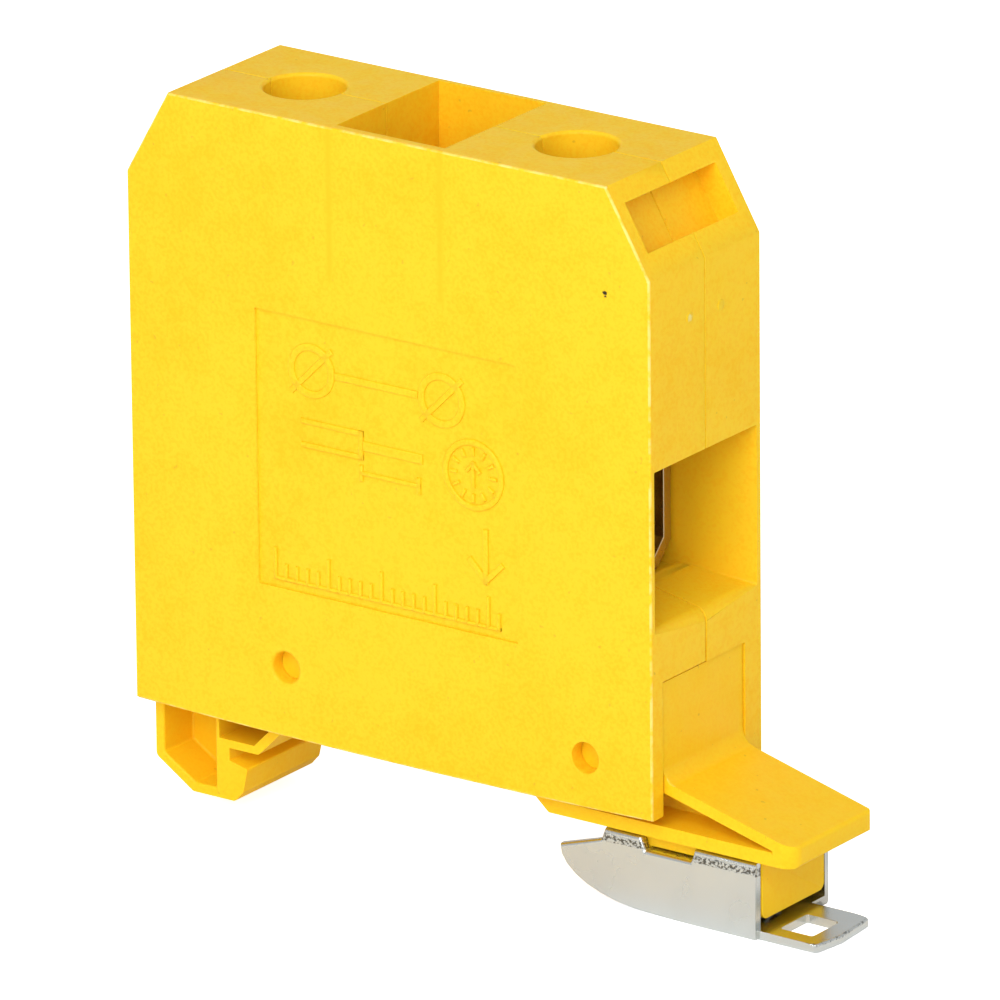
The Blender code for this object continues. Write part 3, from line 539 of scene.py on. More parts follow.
def corner_edges(shape: bmesh.types.BMesh, least: float = 32.0) -> list[bmesh.types.BMEdge]:
    """Edges whose faces meet at more than an angle in degrees."""
    limit = math.radians(least)
    return [edge for edge in shape.edges if len(edge.link_faces) == 2 and edge.calc_face_angle(0.0) > limit]


def has_room(edge: bmesh.types.BMEdge, width: float) -> bool:
    """Whether the edges that meet an edge at its ends are long enough for a round of the given width."""
    way = (edge.verts[1].co - edge.verts[0].co).normalized()
    for vertex in edge.verts:
        for other in vertex.link_edges:
            along = other.verts[1].co - other.verts[0].co
            turns = abs(along.normalized().dot(way)) < SAME_WAY
            if other is not edge and turns and along.length < ROOM * width:
                return False
    return True


def chains(edges: list[bmesh.types.BMEdge]) -> list[list[bmesh.types.BMEdge]]:
    """Splits edges into groups that share no corner, so that a tight place in one narrows only its own round."""
    left, groups = dict.fromkeys(edges), []
    while left:
        group = [left.popitem()[0]]
        for edge in group:
            near = [other for vertex in edge.verts for other in vertex.link_edges if other in left]
            for other in dict.fromkeys(near):
                del left[other]
                group.append(other)
        groups.append(group)
    return groups


def soften(
    shape: bmesh.types.BMesh, edges: list[bmesh.types.BMEdge], width: float, segments: int = 3
) -> list[bmesh.types.BMFace]:
    """Rounds the given edges, narrower where there is no room.

    Args:
        shape: the mesh that is changed.
        edges: the edges to round.
        width: how far the round reaches on each face, in metres.
        segments: how many faces make the round.

    Returns:
        The faces of the rounds.
    """
    made = bmesh.ops.bevel(
        shape,
        geom=edges,
        offset=width,
        offset_type="OFFSET",
        affect="EDGES",
        segments=segments,
        profile=0.5,
        material=-1,
        clamp_overlap=True,
        loop_slide=True,
    )
    return made["faces"]


@dataclass(frozen=True)
class Round:
    """A rounding of some of a shape's edges.

    Attributes:
        width: how far the round reaches on each face, in metres.
        holds: tells from an edge's two end points whether it is one of them.
        segments: how many faces make the round.
        wear_and_reflection: how strongly the round carries wear with a painted reflection, from 0 to 1.
    """

    width: float
    holds: Callable[[Vector, Vector], bool]
    segments: int = 4
    wear_and_reflection: float = 0.0


def round_off(shape: bmesh.types.BMesh, rounds: tuple[Round, ...], rest: float) -> None:
    """Rounds a shape's corner edges, the named ones first and then all others.

    Args:
        shape: the mesh that is changed.
        rounds: the named rounds, the widest first; one without a width keeps its edges sharp.
        rest: width of the other edges' round.
    """
    mask = shape.faces.layers.float.new(WEAR_AND_REFLECTION)

    def free_edges(width: float) -> list[bmesh.types.BMEdge]:
        """Corner edges that have room for a width and aren't kept sharp."""
        edges = [edge for edge in corner_edges(shape) if has_room(edge, width)]
        sharp = [named.holds for named in rounds if not named.width]
        return [edge for edge in edges if not any(holds(edge.verts[0].co, edge.verts[1].co) for holds in sharp)]

    for named in rounds:
        edges = free_edges(named.width) if named.width else []
        for chain in chains([edge for edge in edges if named.holds(edge.verts[0].co, edge.verts[1].co)]):
            for face in soften(shape, chain, named.width, named.segments):
                face[mask] = named.wear_and_reflection
    for width in (rest, rest / 2, rest / 4):
        for chain in chains(free_edges(width)):
            soften(shape, chain, width)


def dressed(
    name: str, shape: bmesh.types.BMesh, finish: bpy.types.Material, smooth: float = 40.0
) -> bpy.types.Object:
    """Makes a scene object of a finished mesh.

    Args:
        name: the piece's name.
        shape: the mesh, which is freed.
        finish: the piece's material.
        smooth: faces that meet at less than this angle in degrees are shaded as one.

    Returns:
        The new object, at the origin, unturned and unscaled.
    """
    mesh = bpy.data.meshes.new(name)
    shape.to_mesh(mesh)
    shape.free()
    mesh.materials.append(finish)
    mesh.shade_smooth()
    mesh.set_sharp_from_angle(angle=math.radians(smooth))
    piece = bpy.data.objects.new(name, mesh)
    bpy.context.scene.collection.objects.link(piece)
    weighted = piece.modifiers.new("flat_faces_stay_flat", "WEIGHTED_NORMAL")
    weighted.keep_sharp = True
    return piece


def place_piece(piece: bpy.types.Object, body: Body, slot: str, *nodes: str) -> None:
    """Sets what a piece rides on and hides the CAD nodes that it stands for."""
    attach(piece, body.value)
    if nodes:
        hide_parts(*nodes)
    faces = len(piece.data.polygons)
    LOG.info("%s rides on %s with %d faces", piece.name, body.value, faces)


@dataclass
class MarkSheet:
    """A flat sheet of raised marks, drawn in millimetres from the sheet's lower left corner.

    Attributes:
        origin: the sheet's lower left corner in the frame.
        plane: the way that the sheet faces.
        height: how far the marks stand out, in metres.
        root: how far the marks reach down into what carries them, in metres.
        layer: how much higher each stroke stands than the one before, in metres.
        shape: the mesh that the marks are drawn in.
        strokes: how many strokes have been drawn.
    """

    origin: Vector
    plane: Plane
    height: float
    root: float = 0.03 * MM
    layer: float = 0.0015 * MM
    shape: bmesh.types.BMesh = field(default_factory=bmesh.new)
    strokes: int = 0

    def next_height(self) -> float:
        """The height of the next stroke: each stands a hair above the one before, so no two tops coincide."""
        self.strokes += 1
        return self.height + self.strokes * self.layer

    def bar(self, start: tuple[float, float], end: tuple[float, float], width: float) -> None:
        """Draws a straight bar between two points."""
        first, last = Vector(start) * MM, Vector(end) * MM
        along = last - first
        height = self.next_height()
        size = Vector((along.length + width * MM, width * MM, height + self.root))
        middle = (first + last) / 2
        level = (height - self.root) / 2
        turned = Matrix.Rotation(math.atan2(along.y, along.x), 4, "Z")
        matrix = Matrix.Translation((middle.x, middle.y, level)) @ turned @ Matrix.Diagonal((*size, 1.0))
        bmesh.ops.create_cube(self.shape, size=1.0, matrix=matrix)

    def ring(self, centre: tuple[float, float], radius: float, width: float) -> None:
        """Draws a ring.

        Args:
            centre: its centre.
            radius: its middle radius.
            width: its width.
        """
        inner, outer, height = (radius - width / 2) * MM, (radius + width / 2) * MM, self.next_height()
        corners = ((inner, -self.root), (outer, -self.root), (outer, height), (inner, height))
        made = [self.shape.verts.new((along, 0.0, up)) for along, up in corners]
        ring = [self.shape.edges.new((made[i], made[(i + 1) % 4])) for i in range(4)]
        bmesh.ops.spin(
            self.shape,
            geom=made + ring,
            cent=(0, 0, 0),
            axis=(0, 0, 1),
            dvec=(0, 0, 0),
            angle=2 * math.pi,
            steps=36,
            use_merge=True,
        )
        whole, reach = set(made), list(made)
        while reach:
            near = {vertex for edge in reach.pop().link_edges for vertex in edge.verts} - whole
            whole |= near
            reach += near
        bmesh.ops.translate(self.shape, vec=(centre[0] * MM, centre[1] * MM, 0), verts=list(whole))

    def disc(self, centre: tuple[float, float], radius: float) -> None:
        """Draws a filled disc."""
        height = self.next_height()
        level = (height - self.root) / 2
        bmesh.ops.create_cone(
            self.shape,
            cap_ends=True,
            cap_tris=False,
            segments=28,
            radius1=radius * MM,
            radius2=radius * MM,
            depth=height + self.root,
            matrix=Matrix.Translation((centre[0] * MM, centre[1] * MM, level)),
        )

    def finished(self, softness: float) -> bmesh.types.BMesh:
        """Rounds the marks' upper edges and lays the sheet on its plane."""
        bmesh.ops.recalc_face_normals(self.shape, faces=self.shape.faces)
        top = self.height - 0.001 * MM
        edges = [edge for edge in corner_edges(self.shape) if all(v.co.z > top for v in edge.verts)]
        soften(self.shape, edges, softness, 3)
        across, out = {
            Plane.FRONT: (Vector((1, 0, 0)), Vector((0, -1, 0))),
            Plane.END: (Vector((0, 1, 0)), Vector((1, 0, 0))),
        }[self.plane]
        matrix = Matrix((across, Vector((0, 0, 1)), out)).transposed().to_4x4()
        matrix.translation = self.origin
        bmesh.ops.transform(self.shape, matrix=matrix, verts=self.shape.verts)
        return self.shape


# ---------------------------------------------------------------------------------------------------------
# Sub-assemblies
# ---------------------------------------------------------------------------------------------------------


@dataclass
class Housing:
    """The two shells, with the raised marks that the mould leaves on them.

    Attributes:
        finish: the shells' material.
        edge: round of the shells' outer edges.
        label_left: X of the label panel's left edge.
        label_bottom: Z of the label panel's lower edge.
        label_floor: Y of the label panel's floor.
        label_play: how far outside the panel an edge still counts as the panel's.
        label_size: length and height of the label panel, in millimetres.
        lip: round of the wire entries' outer floor edges.
        lip_heights: the lowest and highest Z of those edges.
        rim: round of the round holes' rims.
        rim_edge: length under which an edge belongs to a screwdriver hole's rim.
        fix_edge: the same for the front face's fixing holes.
        fix_heights: the lowest and highest Z of the fixing holes.
        mark_height: how far the label's marks stand out.
        mark_softness: round of their upper edges.
        tongue_inset: how far the seam's tongue lies inside the seam face's outline.
        tongue_height: how far it stands up.
        gate_places: Y and Z of the two gate marks on the right end face.
        gate_radius: their radius in millimetres.
        gate_height: how far they stand out.
    """

    finish: bpy.types.Material
    edge: float = 0.16 * MM
    label_left: float = -13.2 * MM
    label_bottom: float = 14.9 * MM
    label_floor: float = -7.0 * MM
    label_play: float = 0.1 * MM
    label_size: tuple[float, float] = (24.5, 22.3)
    lip: float = 0.9 * MM
    lip_heights: tuple[float, float] = (17.0 * MM, 19.3 * MM)
    rim: float = 0.30 * MM
    rim_edge: float = 0.9 * MM
    fix_edge: float = 0.7 * MM
    fix_heights: tuple[float, float] = (3.5 * MM, 10.0 * MM)
    mark_height: float = 0.17 * MM
    mark_softness: float = 0.13 * MM
    tongue_inset: float = 0.20 * MM
    tongue_height: float = 0.092 * MM
    gate_places: tuple[tuple[float, float], ...] = ((-2.0, 41.9), (2.1, 41.75))
    gate_radius: float = 0.42
    gate_height: float = 0.04 * MM

    def __post_init__(self) -> None:
        """Takes the front shell's box."""
        self.low, self.high = (Vector(corner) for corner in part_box("front_shell"))

    def build(self) -> None:
        """Builds both shells and their marks."""
        for node in ("front_shell", "rear_shell"):
            shape = copy_of_node(node)
            rounds = (
                Round(self.lip, self.is_lip),
                Round(self.rim, self.is_rim),
                # The front face's outline carries the pale line of flash and painted highlight.
                Round(self.edge, self.is_outline, 3, 1.0),
            )
            round_off(shape, rounds, self.edge)
            if node == "rear_shell":
                self.raise_tongue(shape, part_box(node)[0][1])
            piece = dressed(f"{node}_moulding", shape, self.finish)
            place_piece(piece, Body.HOUSING, "housing_yellow", node)
        self.build_label()
        self.build_gates()

    def raise_tongue(self, shape: bmesh.types.BMesh, seam: float) -> None:
        """Raises the low tongue of the seam, which keeps light and dust out of the housing.

        Args:
            shape: the rear shell's mesh.
            seam: Y of its seam face.
        """
        flat = [f for f in shape.faces if f.normal.y < -0.99 and f.calc_center_median().y < seam + HAIR]
        flat = bmesh.ops.triangulate(shape, faces=flat)["faces"]
        bmesh.ops.inset_region(
            shape, faces=flat, thickness=self.tongue_inset, use_boundary=True, use_even_offset=True
        )
        top = list(dict.fromkeys(vertex for face in flat for vertex in face.verts))
        bmesh.ops.translate(shape, vec=(0, -self.tongue_height, 0), verts=top)

    def is_lip(self, first: Vector, last: Vector) -> bool:
        """Whether an edge is the outer edge of a wire entry's floor."""
        ends = all(min(p.x - self.low.x, self.high.x - p.x) < 2 * HAIR for p in (first, last))
        lowest, highest = self.lip_heights
        return ends and abs(first.z - last.z) < 2 * HAIR and lowest < first.z < highest

    def is_rim(self, first: Vector, last: Vector) -> bool:
        """Whether an edge belongs to a round hole in the top or the front face."""
        length = (first - last).length
        if length < self.rim_edge and all(abs(p.z - self.high.z) < HAIR for p in (first, last)):
            return True
        lowest, highest = self.fix_heights
        return length < self.fix_edge and all(self.is_in_front(p) and lowest < p.z < highest for p in (first, last))

    def is_in_front(self, point: Vector) -> bool:
        """Whether a point lies on the front face."""
        return point.y < self.low.y + HAIR

    def is_outline(self, first: Vector, last: Vector) -> bool:
        """Whether an edge belongs to the outline of the front face, and not to its label panel."""
        middle = (first + last) / 2
        length, height = (size * MM for size in self.label_size)
        places = ((middle.x - self.label_left, length), (middle.z - self.label_bottom, height))
        inside = all(-self.label_play < place < size + self.label_play for place, size in places)
        return self.is_in_front(first) and self.is_in_front(last) and not inside

    def build_label(self) -> None:
        """Builds the label panel's raised marks: a circuit symbol, a strip gauge, a date dial and a scale."""
        origin = Vector((self.label_left, self.label_floor, self.label_bottom))
        sheet = MarkSheet(origin, Plane.FRONT, self.mark_height)
        self.draw_circuit(sheet)
        self.draw_strip_gauge(sheet)
        self.draw_dial(sheet)
        self.draw_arrow(sheet)
        self.draw_scale(sheet)
        piece = dressed("label_marks", sheet.finished(self.mark_softness), self.finish)
        place_piece(piece, Body.HOUSING, "housing_yellow")

    def draw_circuit(self, sheet: MarkSheet) -> None:
        """Draws a feed-through circuit symbol: two slotted clamp points and the line between them."""
        height, radius, line = self.label_size[1] - 4.2, 1.9, 0.6
        for x in (5.2, 17.4):
            sheet.ring((x, height), radius, line)
            slant = radius * 1.3 * math.sqrt(0.5)
            sheet.bar((x - slant, height - slant), (x + slant, height + slant), 0.5)
        sheet.bar((5.2 + radius + line, height), (17.4 - radius - line, height), line)

    def draw_strip_gauge(self, sheet: MarkSheet) -> None:
        """Draws a wire with a stripped end and the dimension line under it."""
        middle = self.label_size[1] - 9.3
        upper, lower, start, end, tip = middle + 0.95, middle - 0.95, 4.4, 9.8, 15.2
        for height in (upper, lower):
            sheet.bar((start, height), (end, height), 0.45)
        sheet.bar((end, lower), (end, upper), 0.45)
        sheet.bar((end + 0.6, middle), (tip, middle), 0.8)
        sheet.bar((end, middle - 2.2), (tip, middle - 2.2), 0.36)
        for x in (end, tip):
            sheet.bar((x, middle - 2.7), (x, middle - 1.7), 0.36)

    def draw_dial(self, sheet: MarkSheet) -> None:
        """Draws the mould's date dial: a ring, twelve ticks and a pointer."""
        centre, radius = (20.3, self.label_size[1] - 9.6), 2.6
        sheet.ring(centre, radius, 0.5)
        for month in range(12):
            angle = math.radians(30 * month)
            way = Vector((math.cos(angle), math.sin(angle)))
            near, far = Vector(centre) + way * 1.65, Vector(centre) + way * 2.05
            sheet.bar(tuple(near), tuple(far), 0.28)
        sheet.bar((centre[0], centre[1] - 0.9), (centre[0], centre[1] + 0.9), 0.34)
        for side in (-1, 1):
            sheet.bar((centre[0] + side * 0.55, centre[1] + 0.3), (centre[0], centre[1] + 0.9), 0.3)

    def draw_arrow(self, sheet: MarkSheet) -> None:
        """Draws the arrow that points the way the block is pressed on its rail."""
        x, top, tip, wing = 21.4, 8.3, 4.4, 1.4
        sheet.bar((x, top), (x, tip), 0.5)
        for side in (-1, 1):
            sheet.bar((x + side * wing, tip + wing), (x, tip), 0.5)

    def draw_scale(self, sheet: MarkSheet) -> None:
        """Draws a millimetre scale along the panel's lower edge."""
        sheet.bar((1.6, 0.75), (22.6, 0.75), 0.3)
        for tick in range(22):
            reach = (1.1, 2.3)[tick % 5 == 0]
            sheet.bar((1.6 + tick, 0.75), (1.6 + tick, 0.75 + reach), 0.3)

    def build_gates(self) -> None:
        """Builds the small round gate marks beside the seam on the right end face."""
        sheet = MarkSheet(Vector((self.high.x, 0, 0)), Plane.END, self.gate_height)
        for across, up in self.gate_places:
            sheet.disc((across, up), self.gate_radius)
        piece = dressed("gate_marks", sheet.finished(self.gate_height / 2), self.finish)
        place_piece(piece, Body.HOUSING, "housing_yellow")


# The foot's wing lies right of and above these, and its pegs stick out past these in front and behind
WING_START = 23.7 * MM
WING_BOTTOM = 3.4 * MM
PEG_FRONT = -5.6 * MM
PEG_REAR = 5.1 * MM


@dataclass
class RailFoot:
    """The rail foot with its hook, springy jaw, ledge, wing and guide block.

    Attributes:
        finish: the foot's material.
        edge: round of its edges.
        peg_fit: how much wider than the solid's the pegs are that fill the holes of the shells.
    """

    finish: bpy.types.Material
    edge: float = 0.22 * MM
    peg_fit: float = 1.07

    def build(self) -> None:
        """Builds the foot."""
        shape = copy_of_node("rail_foot")
        # The wing's upper front edge carries the same pale line of painted highlight.
        rounds = (Round(self.edge, self.is_wing, 3, 0.8), Round(0.0, self.is_peg))
        for side in Side:
            peg = [v for v in shape.verts if v.co.x * side.value > 0.0 and self.is_peg(v.co, v.co)]
            centre = sum((vertex.co for vertex in peg), Vector()) / len(peg)
            fit = (self.peg_fit, 1.0, self.peg_fit)
            bmesh.ops.scale(shape, vec=fit, space=Matrix.Translation(-centre), verts=peg)
        round_off(shape, rounds, self.edge)
        piece = dressed("rail_foot_moulding", shape, self.finish)
        place_piece(piece, Body.HOUSING, "foot_yellow", "rail_foot")

    @staticmethod
    def is_wing(first: Vector, last: Vector) -> bool:
        """Whether an edge is the upper front edge of the wing."""
        return all(p.x > WING_START and p.y < 0.0 and p.z > WING_BOTTOM for p in (first, last))

    @staticmethod
    def is_peg(first: Vector, last: Vector) -> bool:
        """Whether an edge belongs to a peg that holds the foot in the shells."""
        return all(p.y < PEG_FRONT or p.y > PEG_REAR for p in (first, last))


@dataclass
class RailCatch:
    """The stamped metal catch and the spring behind its lug.

    Attributes:
        plate: the catch's material.
        wire: the spring's material.
        roll: round of the catch's upper outer edges, where the punch drew the sheet in.
        edge: round of its other edges.
        fold: round of its sides' right ends and lower edges.
        tab_edge: round of the tab's edges.
        plate_top: height of the catch's sides.
        plate_end: X of the sides' right ends.
        top: how far below the sides' top an edge still counts as upper.
        spring_start: X of the spring's moving end.
        spring_end: X of the spring's fixed end.
        spring_axis: Y and Z of the spring's axis.
        spring_radius: the spring's middle radius.
        wire_radius: the wire's radius.
        coils: the working coils.
        travel: how far the catch moves; not used.
    """

    plate: bpy.types.Material
    wire: bpy.types.Material
    roll: float = 0.48 * MM
    edge: float = 0.10 * MM
    fold: float = 0.28 * MM
    tab_edge: float = 0.20 * MM
    plate_top: float = 0.77 * MM
    plate_end: float = 31.65 * MM
    top: float = 0.9 * MM
    spring_start: float = 22.85 * MM
    spring_end: float = 30.1 * MM
    spring_axis: tuple[float, float] = (-0.275 * MM, -2.9 * MM)
    spring_radius: float = 1.3 * MM
    wire_radius: float = 0.2 * MM
    coils: float = 5.0
    travel: float = 3.0 * MM

    def build(self) -> None:
        """Builds the catch and its spring."""
        self.build_catch()
        self.build_spring()

    def build_catch(self) -> None:
        """Builds the catch with a deep roll along its upper outer edges and softly rounded other ones."""
        shape = copy_of_node("rail_catch")
        low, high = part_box("rail_catch")

        def outside(point: Vector) -> bool:
            """Whether a point lies on the catch's front or rear side."""
            return min(point.y - low[1], high[1] - point.y) < HAIR

        def rolled(first: Vector, last: Vector) -> bool:
            """Whether an edge runs along the top of a side."""
            return all(outside(p) and p.z > self.plate_top - self.top for p in (first, last))

        def folded(first: Vector, last: Vector) -> bool:
            """Whether an edge closes a side at its right end or below."""
            return all(outside(p) and p.x < self.plate_end + self.edge for p in (first, last))

        # The tab's edges carry the torn look, with its painted dark reflections.
        rounds = (Round(self.roll, rolled), Round(self.fold, folded), Round(self.tab_edge, self.on_tab, 3, 0.7))
        round_off(shape, rounds, self.edge)
        piece = dressed("rail_catch_plate", shape, self.plate, 50.0)
        place_piece(piece, Body.CATCH, "nickel_plate", "rail_catch")

    def on_tab(self, first: Vector, last: Vector) -> bool:
        """Whether an edge belongs to the tab that sticks out of the catch."""
        return min(first.x, last.x) > self.plate_end + self.edge

    def build_spring(self) -> None:
        """Builds the compression spring with closed end coils."""
        shape = bmesh.new()
        bmesh.ops.create_circle(
            shape,
            segments=12,
            radius=self.wire_radius,
            matrix=Matrix.Translation((self.spring_start + self.wire_radius, self.spring_radius, 0)),
        )
        rim = list(shape.edges)
        ends, tip = [rim], list(shape.verts) + rim
        closed = 2 * self.wire_radius
        working = self.spring_end - self.spring_start - 4 * self.wire_radius - closed
        for turns, rise in ((1.0, closed), (self.coils, working), (1.0, closed)):
            steps = round(30 * turns)
            spun = bmesh.ops.spin(
                shape,
                geom=tip,
                cent=(0, 0, 0),
                axis=(1, 0, 0),
                dvec=(rise / steps, 0, 0),
                angle=2 * math.pi * turns,
                steps=steps,
            )
            tip = spun["geom_last"]
        ends.append([item for item in tip if isinstance(item, bmesh.types.BMEdge)])
        for end in ends:
            bmesh.ops.edgeloop_fill(shape, edges=end)
        bmesh.ops.recalc_face_normals(shape, faces=shape.faces)
        across, up = self.spring_axis
        bmesh.ops.translate(shape, vec=(0, across, up), verts=shape.verts)
        piece = dressed("catch_spring_coil", shape, self.wire, 60.0)
        place_piece(piece, Body.HOUSING, "spring_steel", "catch_spring")
        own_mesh(piece)


@dataclass
class Clamp:
    """One screw clamp: a bent cage with a threaded head, and its slotted screw.

    Attributes:
        side: which end of the block it serves.
        cage: the cage's material.
        zinc: the screw's material.
        edge: round of the cage's edges.
        thread_pitch: the screw's pitch.
        thread_depth: how deep its thread is cut.
        thread_radius: the thread's outer radius.
        head_height: height of the head.
        head_radius: its radius.
        slot_width: width of the driver's slot.
        slot_depth: its depth.
        chamfer: round of the head's edges.
        steps: how many faces make one turn of the thread.
    """

    side: Side
    cage: bpy.types.Material
    zinc: bpy.types.Material
    edge: float = 0.14 * MM
    thread_pitch: float = 0.8 * MM
    thread_depth: float = 0.42 * MM
    head_height: float = 3.0 * MM
    head_radius: float = 3.0 * MM
    thread_radius: float = 2.5 * MM
    slot_width: float = 1.2 * MM
    slot_depth: float = 1.7 * MM
    chamfer: float = 0.35 * MM
    steps: int = 36

    def build(self) -> None:
        """Builds the cage and the screw."""
        node = f"{self.side.word}_clamp_cage"
        shape = copy_of_node(node)
        soften(shape, corner_edges(shape), self.edge)
        piece = dressed(f"{node}_steel", shape, self.cage)
        place_piece(piece, Body[f"{self.side.name}_CAGE"], "chromated_steel", node)
        self.build_screw()

    def build_screw(self) -> None:
        """Builds the screw: a cut thread, and a round head with a slot for the driver."""
        node = f"{self.side.word}_clamp_screw"
        low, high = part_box(node)
        centre = Vector(((low[0] + high[0]) / 2, (low[1] + high[1]) / 2, 0))
        shape = self.thread(low[2], high[2] - self.head_height)
        self.add_head(shape, high[2])
        bmesh.ops.translate(shape, vec=centre, verts=shape.verts)
        piece = dressed(f"{node}_steel", shape, self.zinc, 35.0)
        place_piece(piece, Body[f"{self.side.name}_SCREW"], "zinc_screw", node)

    def thread(self, bottom: float, top: float) -> bmesh.types.BMesh:
        """A helical thread about the Z axis, closed flat at both ends.

        Args:
            bottom: height of the screw's tip.
            top: height where the head starts.

        Returns:
            The closed mesh.
        """
        pitch, root = self.thread_pitch, self.thread_radius - self.thread_depth
        turns = int((top - bottom) / pitch) + 3
        crest = self.thread_radius
        profile = ((root, 0.0), (root, 0.12), (crest, 0.46), (crest, 0.58), (root, 0.92), (root, 1.0))
        start = bottom - 1.5 * pitch
        shape = bmesh.new()
        made = [shape.verts.new((radius, 0, start + share * pitch)) for radius, share in profile]
        line = [shape.edges.new(pair) for pair in zip(made, made[1:])]
        bmesh.ops.spin(
            shape,
            geom=made + line,
            cent=(0, 0, 0),
            axis=(0, 0, 1),
            dvec=(0, 0, pitch / self.steps),
            angle=2 * math.pi * turns,
            steps=self.steps * turns,
        )
        bmesh.ops.remove_doubles(shape, verts=shape.verts, dist=HAIR / 5)
        for height, way in ((bottom, -1), (top, 1)):
            cut = bmesh.ops.bisect_plane(
                shape,
                geom=all_parts(shape),
                dist=HAIR / 10,
                plane_co=(0, 0, height),
                plane_no=(0, 0, way),
                clear_outer=True,
            )
            rim = [item for item in cut["geom_cut"] if isinstance(item, bmesh.types.BMEdge)]
            bmesh.ops.holes_fill(shape, edges=rim, sides=0)
        bmesh.ops.recalc_face_normals(shape, faces=shape.faces)
        return shape

    def add_head(self, shape: bmesh.types.BMesh, top: float) -> None:
        """Adds the head, as two halves of a disc that stand on a common floor with the slot between them."""
        floor = top - self.slot_depth
        bottom = top - self.head_height
        half = self.slot_width / 2
        head = bmesh.new()
        bmesh.ops.create_cone(
            head,
            cap_ends=True,
            segments=48,
            radius1=self.head_radius,
            radius2=self.head_radius,
            depth=top - bottom,
            matrix=Matrix.Translation((0, 0, (top + bottom) / 2)),
        )
        for side in Side:
            place = (side.value * half, 0, 0)
            bmesh.ops.bisect_plane(head, geom=all_parts(head), plane_co=place, plane_no=(1, 0, 0))
        bmesh.ops.bisect_plane(head, geom=all_parts(head), plane_co=(0, 0, floor), plane_no=(0, 0, 1))
        gone = [
            face
            for face in head.faces
            if all(abs(v.co.x) < half + HAIR / 10 and v.co.z > floor - HAIR / 10 for v in face.verts)
        ]
        bmesh.ops.delete(head, geom=gone, context="FACES")
        open_edges = [edge for edge in head.edges if len(edge.link_faces) == 1]
        upright = [e for e in open_edges if all(abs(abs(v.co.x) - half) < HAIR / 5 for v in e.verts)]
        for side in Side:
            wall = [e for e in upright if all(v.co.x * side.value > 0 for v in e.verts)]
            low = [v for v in {v for e in wall for v in e.verts} if abs(v.co.z - floor) < HAIR / 5]
            if len(low) == 2 and head.edges.get(low) is None:
                wall.append(head.edges.new(low))
            bmesh.ops.edgeloop_fill(head, edges=wall)
        rest = [edge for edge in head.edges if len(edge.link_faces) == 1]
        bmesh.ops.edgeloop_fill(head, edges=rest)
        bmesh.ops.recalc_face_normals(head, faces=head.faces)
        rim = [e for e in corner_edges(head) if all(v.co.xy.length > self.head_radius - HAIR for v in e.verts)]
        level = [e for e in rim if abs(e.verts[0].co.z - e.verts[1].co.z) < HAIR / 10]
        soften(head, [e for e in level if abs(e.verts[0].co.z - floor) > HAIR], self.chamfer, 4)
        mesh = bpy.data.meshes.new("head")
        head.to_mesh(mesh)
        head.free()
        shape.from_mesh(mesh)
        bpy.data.meshes.remove(mesh)


@dataclass
class CurrentBar:
    """The bar that joins the two clamps.

    Attributes:
        finish: the bar's material.
        edge: round of its edges.
    """

    finish: bpy.types.Material
    edge: float = 0.2 * MM

    def build(self) -> None:
        """Builds the bar."""
        shape = copy_of_node("current_bar")
        soften(shape, corner_edges(shape), self.edge)
        piece = dressed("current_bar_strip", shape, self.finish)
        place_piece(piece, Body.HOUSING, "tinned_copper", "current_bar")


# ---------------------------------------------------------------------------------------------------------
# Studio
# ---------------------------------------------------------------------------------------------------------


@dataclass(frozen=True)
class Softbox:
    """A square studio light that faces the block.

    Attributes:
        name: the light's name.
        way: direction from the block to the light.
        distance: how far it stands off.
        size: its side.
        share: the brightness it gives a white face turned to it, where 1.0 is full white.
        tint: its colour.
    """

    name: str
    way: tuple[float, float, float]
    distance: float
    size: float
    share: float
    tint: tuple[float, float, float] = (1.0, 1.0, 1.0)

    def build(self, target: Vector) -> None:
        """Makes the light and turns it to its target."""
        data = bpy.data.lights.new(self.name, "AREA")
        data.shape = "SQUARE"
        data.size = self.size
        data.energy = self.share * (math.pi * self.distance) ** 2
        data.color = self.tint
        way = Vector(self.way).normalized()
        lamp = bpy.data.objects.new(self.name, data)
        lamp.location = target + way * self.distance
        lamp.rotation_euler = way.to_track_quat("Z", "Y").to_euler()
        bpy.context.scene.collection.objects.link(lamp)


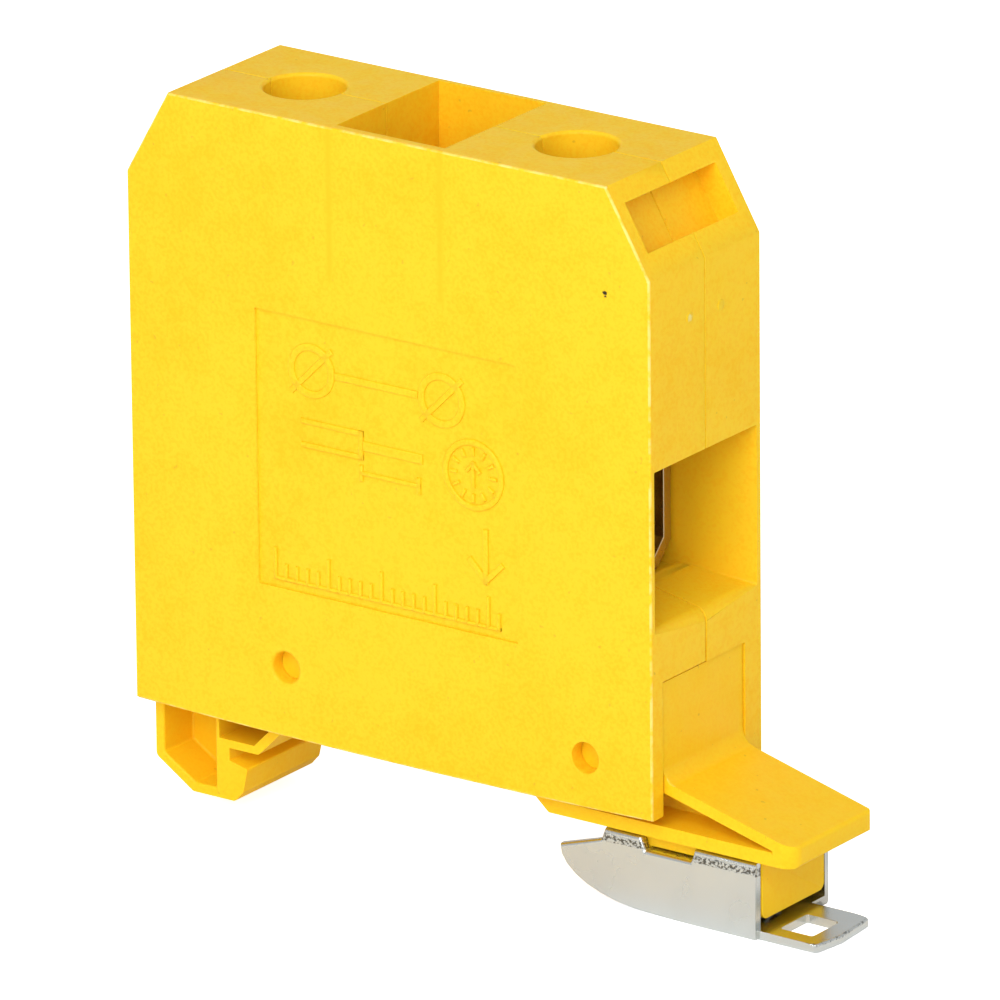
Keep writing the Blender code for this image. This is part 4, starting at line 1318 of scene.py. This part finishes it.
@dataclass
class Studio:
    """A plain white studio: floor, even surroundings, softboxes and the camera.

    Attributes:
        azimuth: the camera's angle about Z in degrees, from looking along +Y.
        elevation: its angle above the horizon in degrees.
        roll: its turn about its own axis in degrees.
        place: where it stands.
        lens: its focal length in millimetres.
        horizon: brightness of the surroundings at the block's own height, as the block sees them.
        zenith: the same straight above it.
        backdrop: brightness of the surroundings as the camera sees them.
        floor_size: side of the floor.
        floor_drop: how far the floor lies below the block.
        floor_glow: brightness that the floor adds where the camera sees it.
        softboxes: the lights.
    """

    azimuth: float = 35.786
    elevation: float = 19.435
    roll: float = -0.554
    place: tuple[float, float, float] = (0.63752, -0.87818, 0.40499)
    lens: float = 542.8
    horizon: float = 0.66
    zenith: float = 0.50
    backdrop: float = 1.05
    floor_size: float = 6.0
    floor_drop: float = 0.02 * MM
    floor_glow: float = 0.8
    softboxes: tuple[Softbox, ...] = (
        Softbox("key_softbox", (0.27, -0.79, 0.55), 0.9, 0.7, 0.76),
        Softbox("side_softbox", (0.90, 0.10, 0.45), 0.9, 0.6, 0.05),
    )

    def build(self) -> None:
        """Builds the floor, the surroundings, the lights and the camera."""
        low, high = CAD_BOX
        middle = (Vector(low) + Vector(high)) / 2
        self.build_floor(low[2])
        self.build_surroundings()
        for softbox in self.softboxes:
            softbox.build(middle)
        self.build_camera()
        settings = bpy.context.scene.view_settings
        settings.view_transform = "Standard"
        settings.look = "None"

    def build_floor(self, height: float) -> None:
        """Builds a pale floor just under the block."""
        shape = bmesh.new()
        bmesh.ops.create_grid(shape, x_segments=1, y_segments=1, size=self.floor_size / 2)
        bmesh.ops.translate(shape, vec=(0, 0, height - self.floor_drop), verts=shape.verts)
        mesh = bpy.data.meshes.new("floor")
        shape.to_mesh(mesh)
        shape.free()
        made, sheet, shader = new_material("floor_white")
        shader.inputs["Base Color"].default_value = (0.94, 0.94, 0.94, 1.0)
        shader.inputs["Roughness"].default_value = 0.9
        shader.inputs["Specular IOR Level"].default_value = 0.0
        shader.inputs["Emission Color"].default_value = (1.0, 1.0, 1.0, 1.0)
        seen = sheet.add("LightPath").outputs["Is Camera Ray"]
        sheet.feed(shader.inputs["Emission Strength"], sheet.math("MULTIPLY", seen, self.floor_glow))
        mesh.materials.append(made)
        floor = bpy.data.objects.new("floor", mesh)
        bpy.context.scene.collection.objects.link(floor)

    def build_surroundings(self) -> None:
        """Makes the world an even white that is brighter where the camera looks straight at it."""
        world = bpy.data.worlds.new("white_studio")
        world.use_nodes = True
        bpy.context.scene.world = world
        sheet = NodeSheet(world.node_tree)
        background = world.node_tree.nodes["Background"]
        background.inputs["Color"].default_value = (1.0, 1.0, 1.0, 1.0)
        seen = sheet.add("LightPath").outputs["Is Camera Ray"]
        height = sheet.add("SeparateXYZ", {0: sheet.add("TexCoord").outputs["Generated"]}).outputs["Z"]
        inputs = {"Value": height, "To Min": self.horizon, "To Max": self.zenith}
        sky = sheet.add("MapRange", inputs).outputs[0]
        inputs = {"Value": seen, "To Min": sky, "To Max": self.backdrop}
        sheet.feed(background.inputs["Strength"], sheet.add("MapRange", inputs).outputs[0])

    def build_camera(self) -> None:
        """Makes the camera."""
        turn, tilt, roll = (math.radians(a) for a in (self.azimuth, self.elevation, self.roll))
        back = Vector((math.sin(turn) * math.cos(tilt), -math.cos(turn) * math.cos(tilt), math.sin(tilt)))
        right = Vector((math.cos(turn), math.sin(turn), 0.0))
        up = back.cross(right)
        level, leaning = right * math.cos(roll) + up * math.sin(roll), up * math.cos(roll) - right * math.sin(roll)
        data = bpy.data.cameras.new("camera")
        data.lens = self.lens
        data.sensor_width = 36.0
        data.clip_start = 0.05
        data.clip_end = 20.0
        camera = bpy.data.objects.new("camera", data)
        camera.matrix_world = Matrix.Translation(self.place) @ Matrix((level, leaning, back)).transposed().to_4x4()
        bpy.context.scene.collection.objects.link(camera)
        bpy.context.scene.camera = camera


def main() -> None:
    """Builds every piece, then the studio."""
    logging.basicConfig(level=logging.INFO, format="%(name)s: %(message)s")
    groups = SurfaceGroups()
    plastic = HOUSING_YELLOW.make(groups)
    cage = CHROMATED_STEEL.make(groups)
    zinc = ZINC_SCREW.make(groups)
    Housing(plastic).build()
    RailFoot(FOOT_YELLOW.make(groups)).build()
    RailCatch(NICKEL_PLATE.make(groups), SPRING_STEEL.make(groups)).build()
    CurrentBar(TINNED_COPPER.make(groups)).build()
    for side in Side:
        Clamp(side, cage, zinc).build()
    Studio().build()


if __name__ == "__main__":
    main()
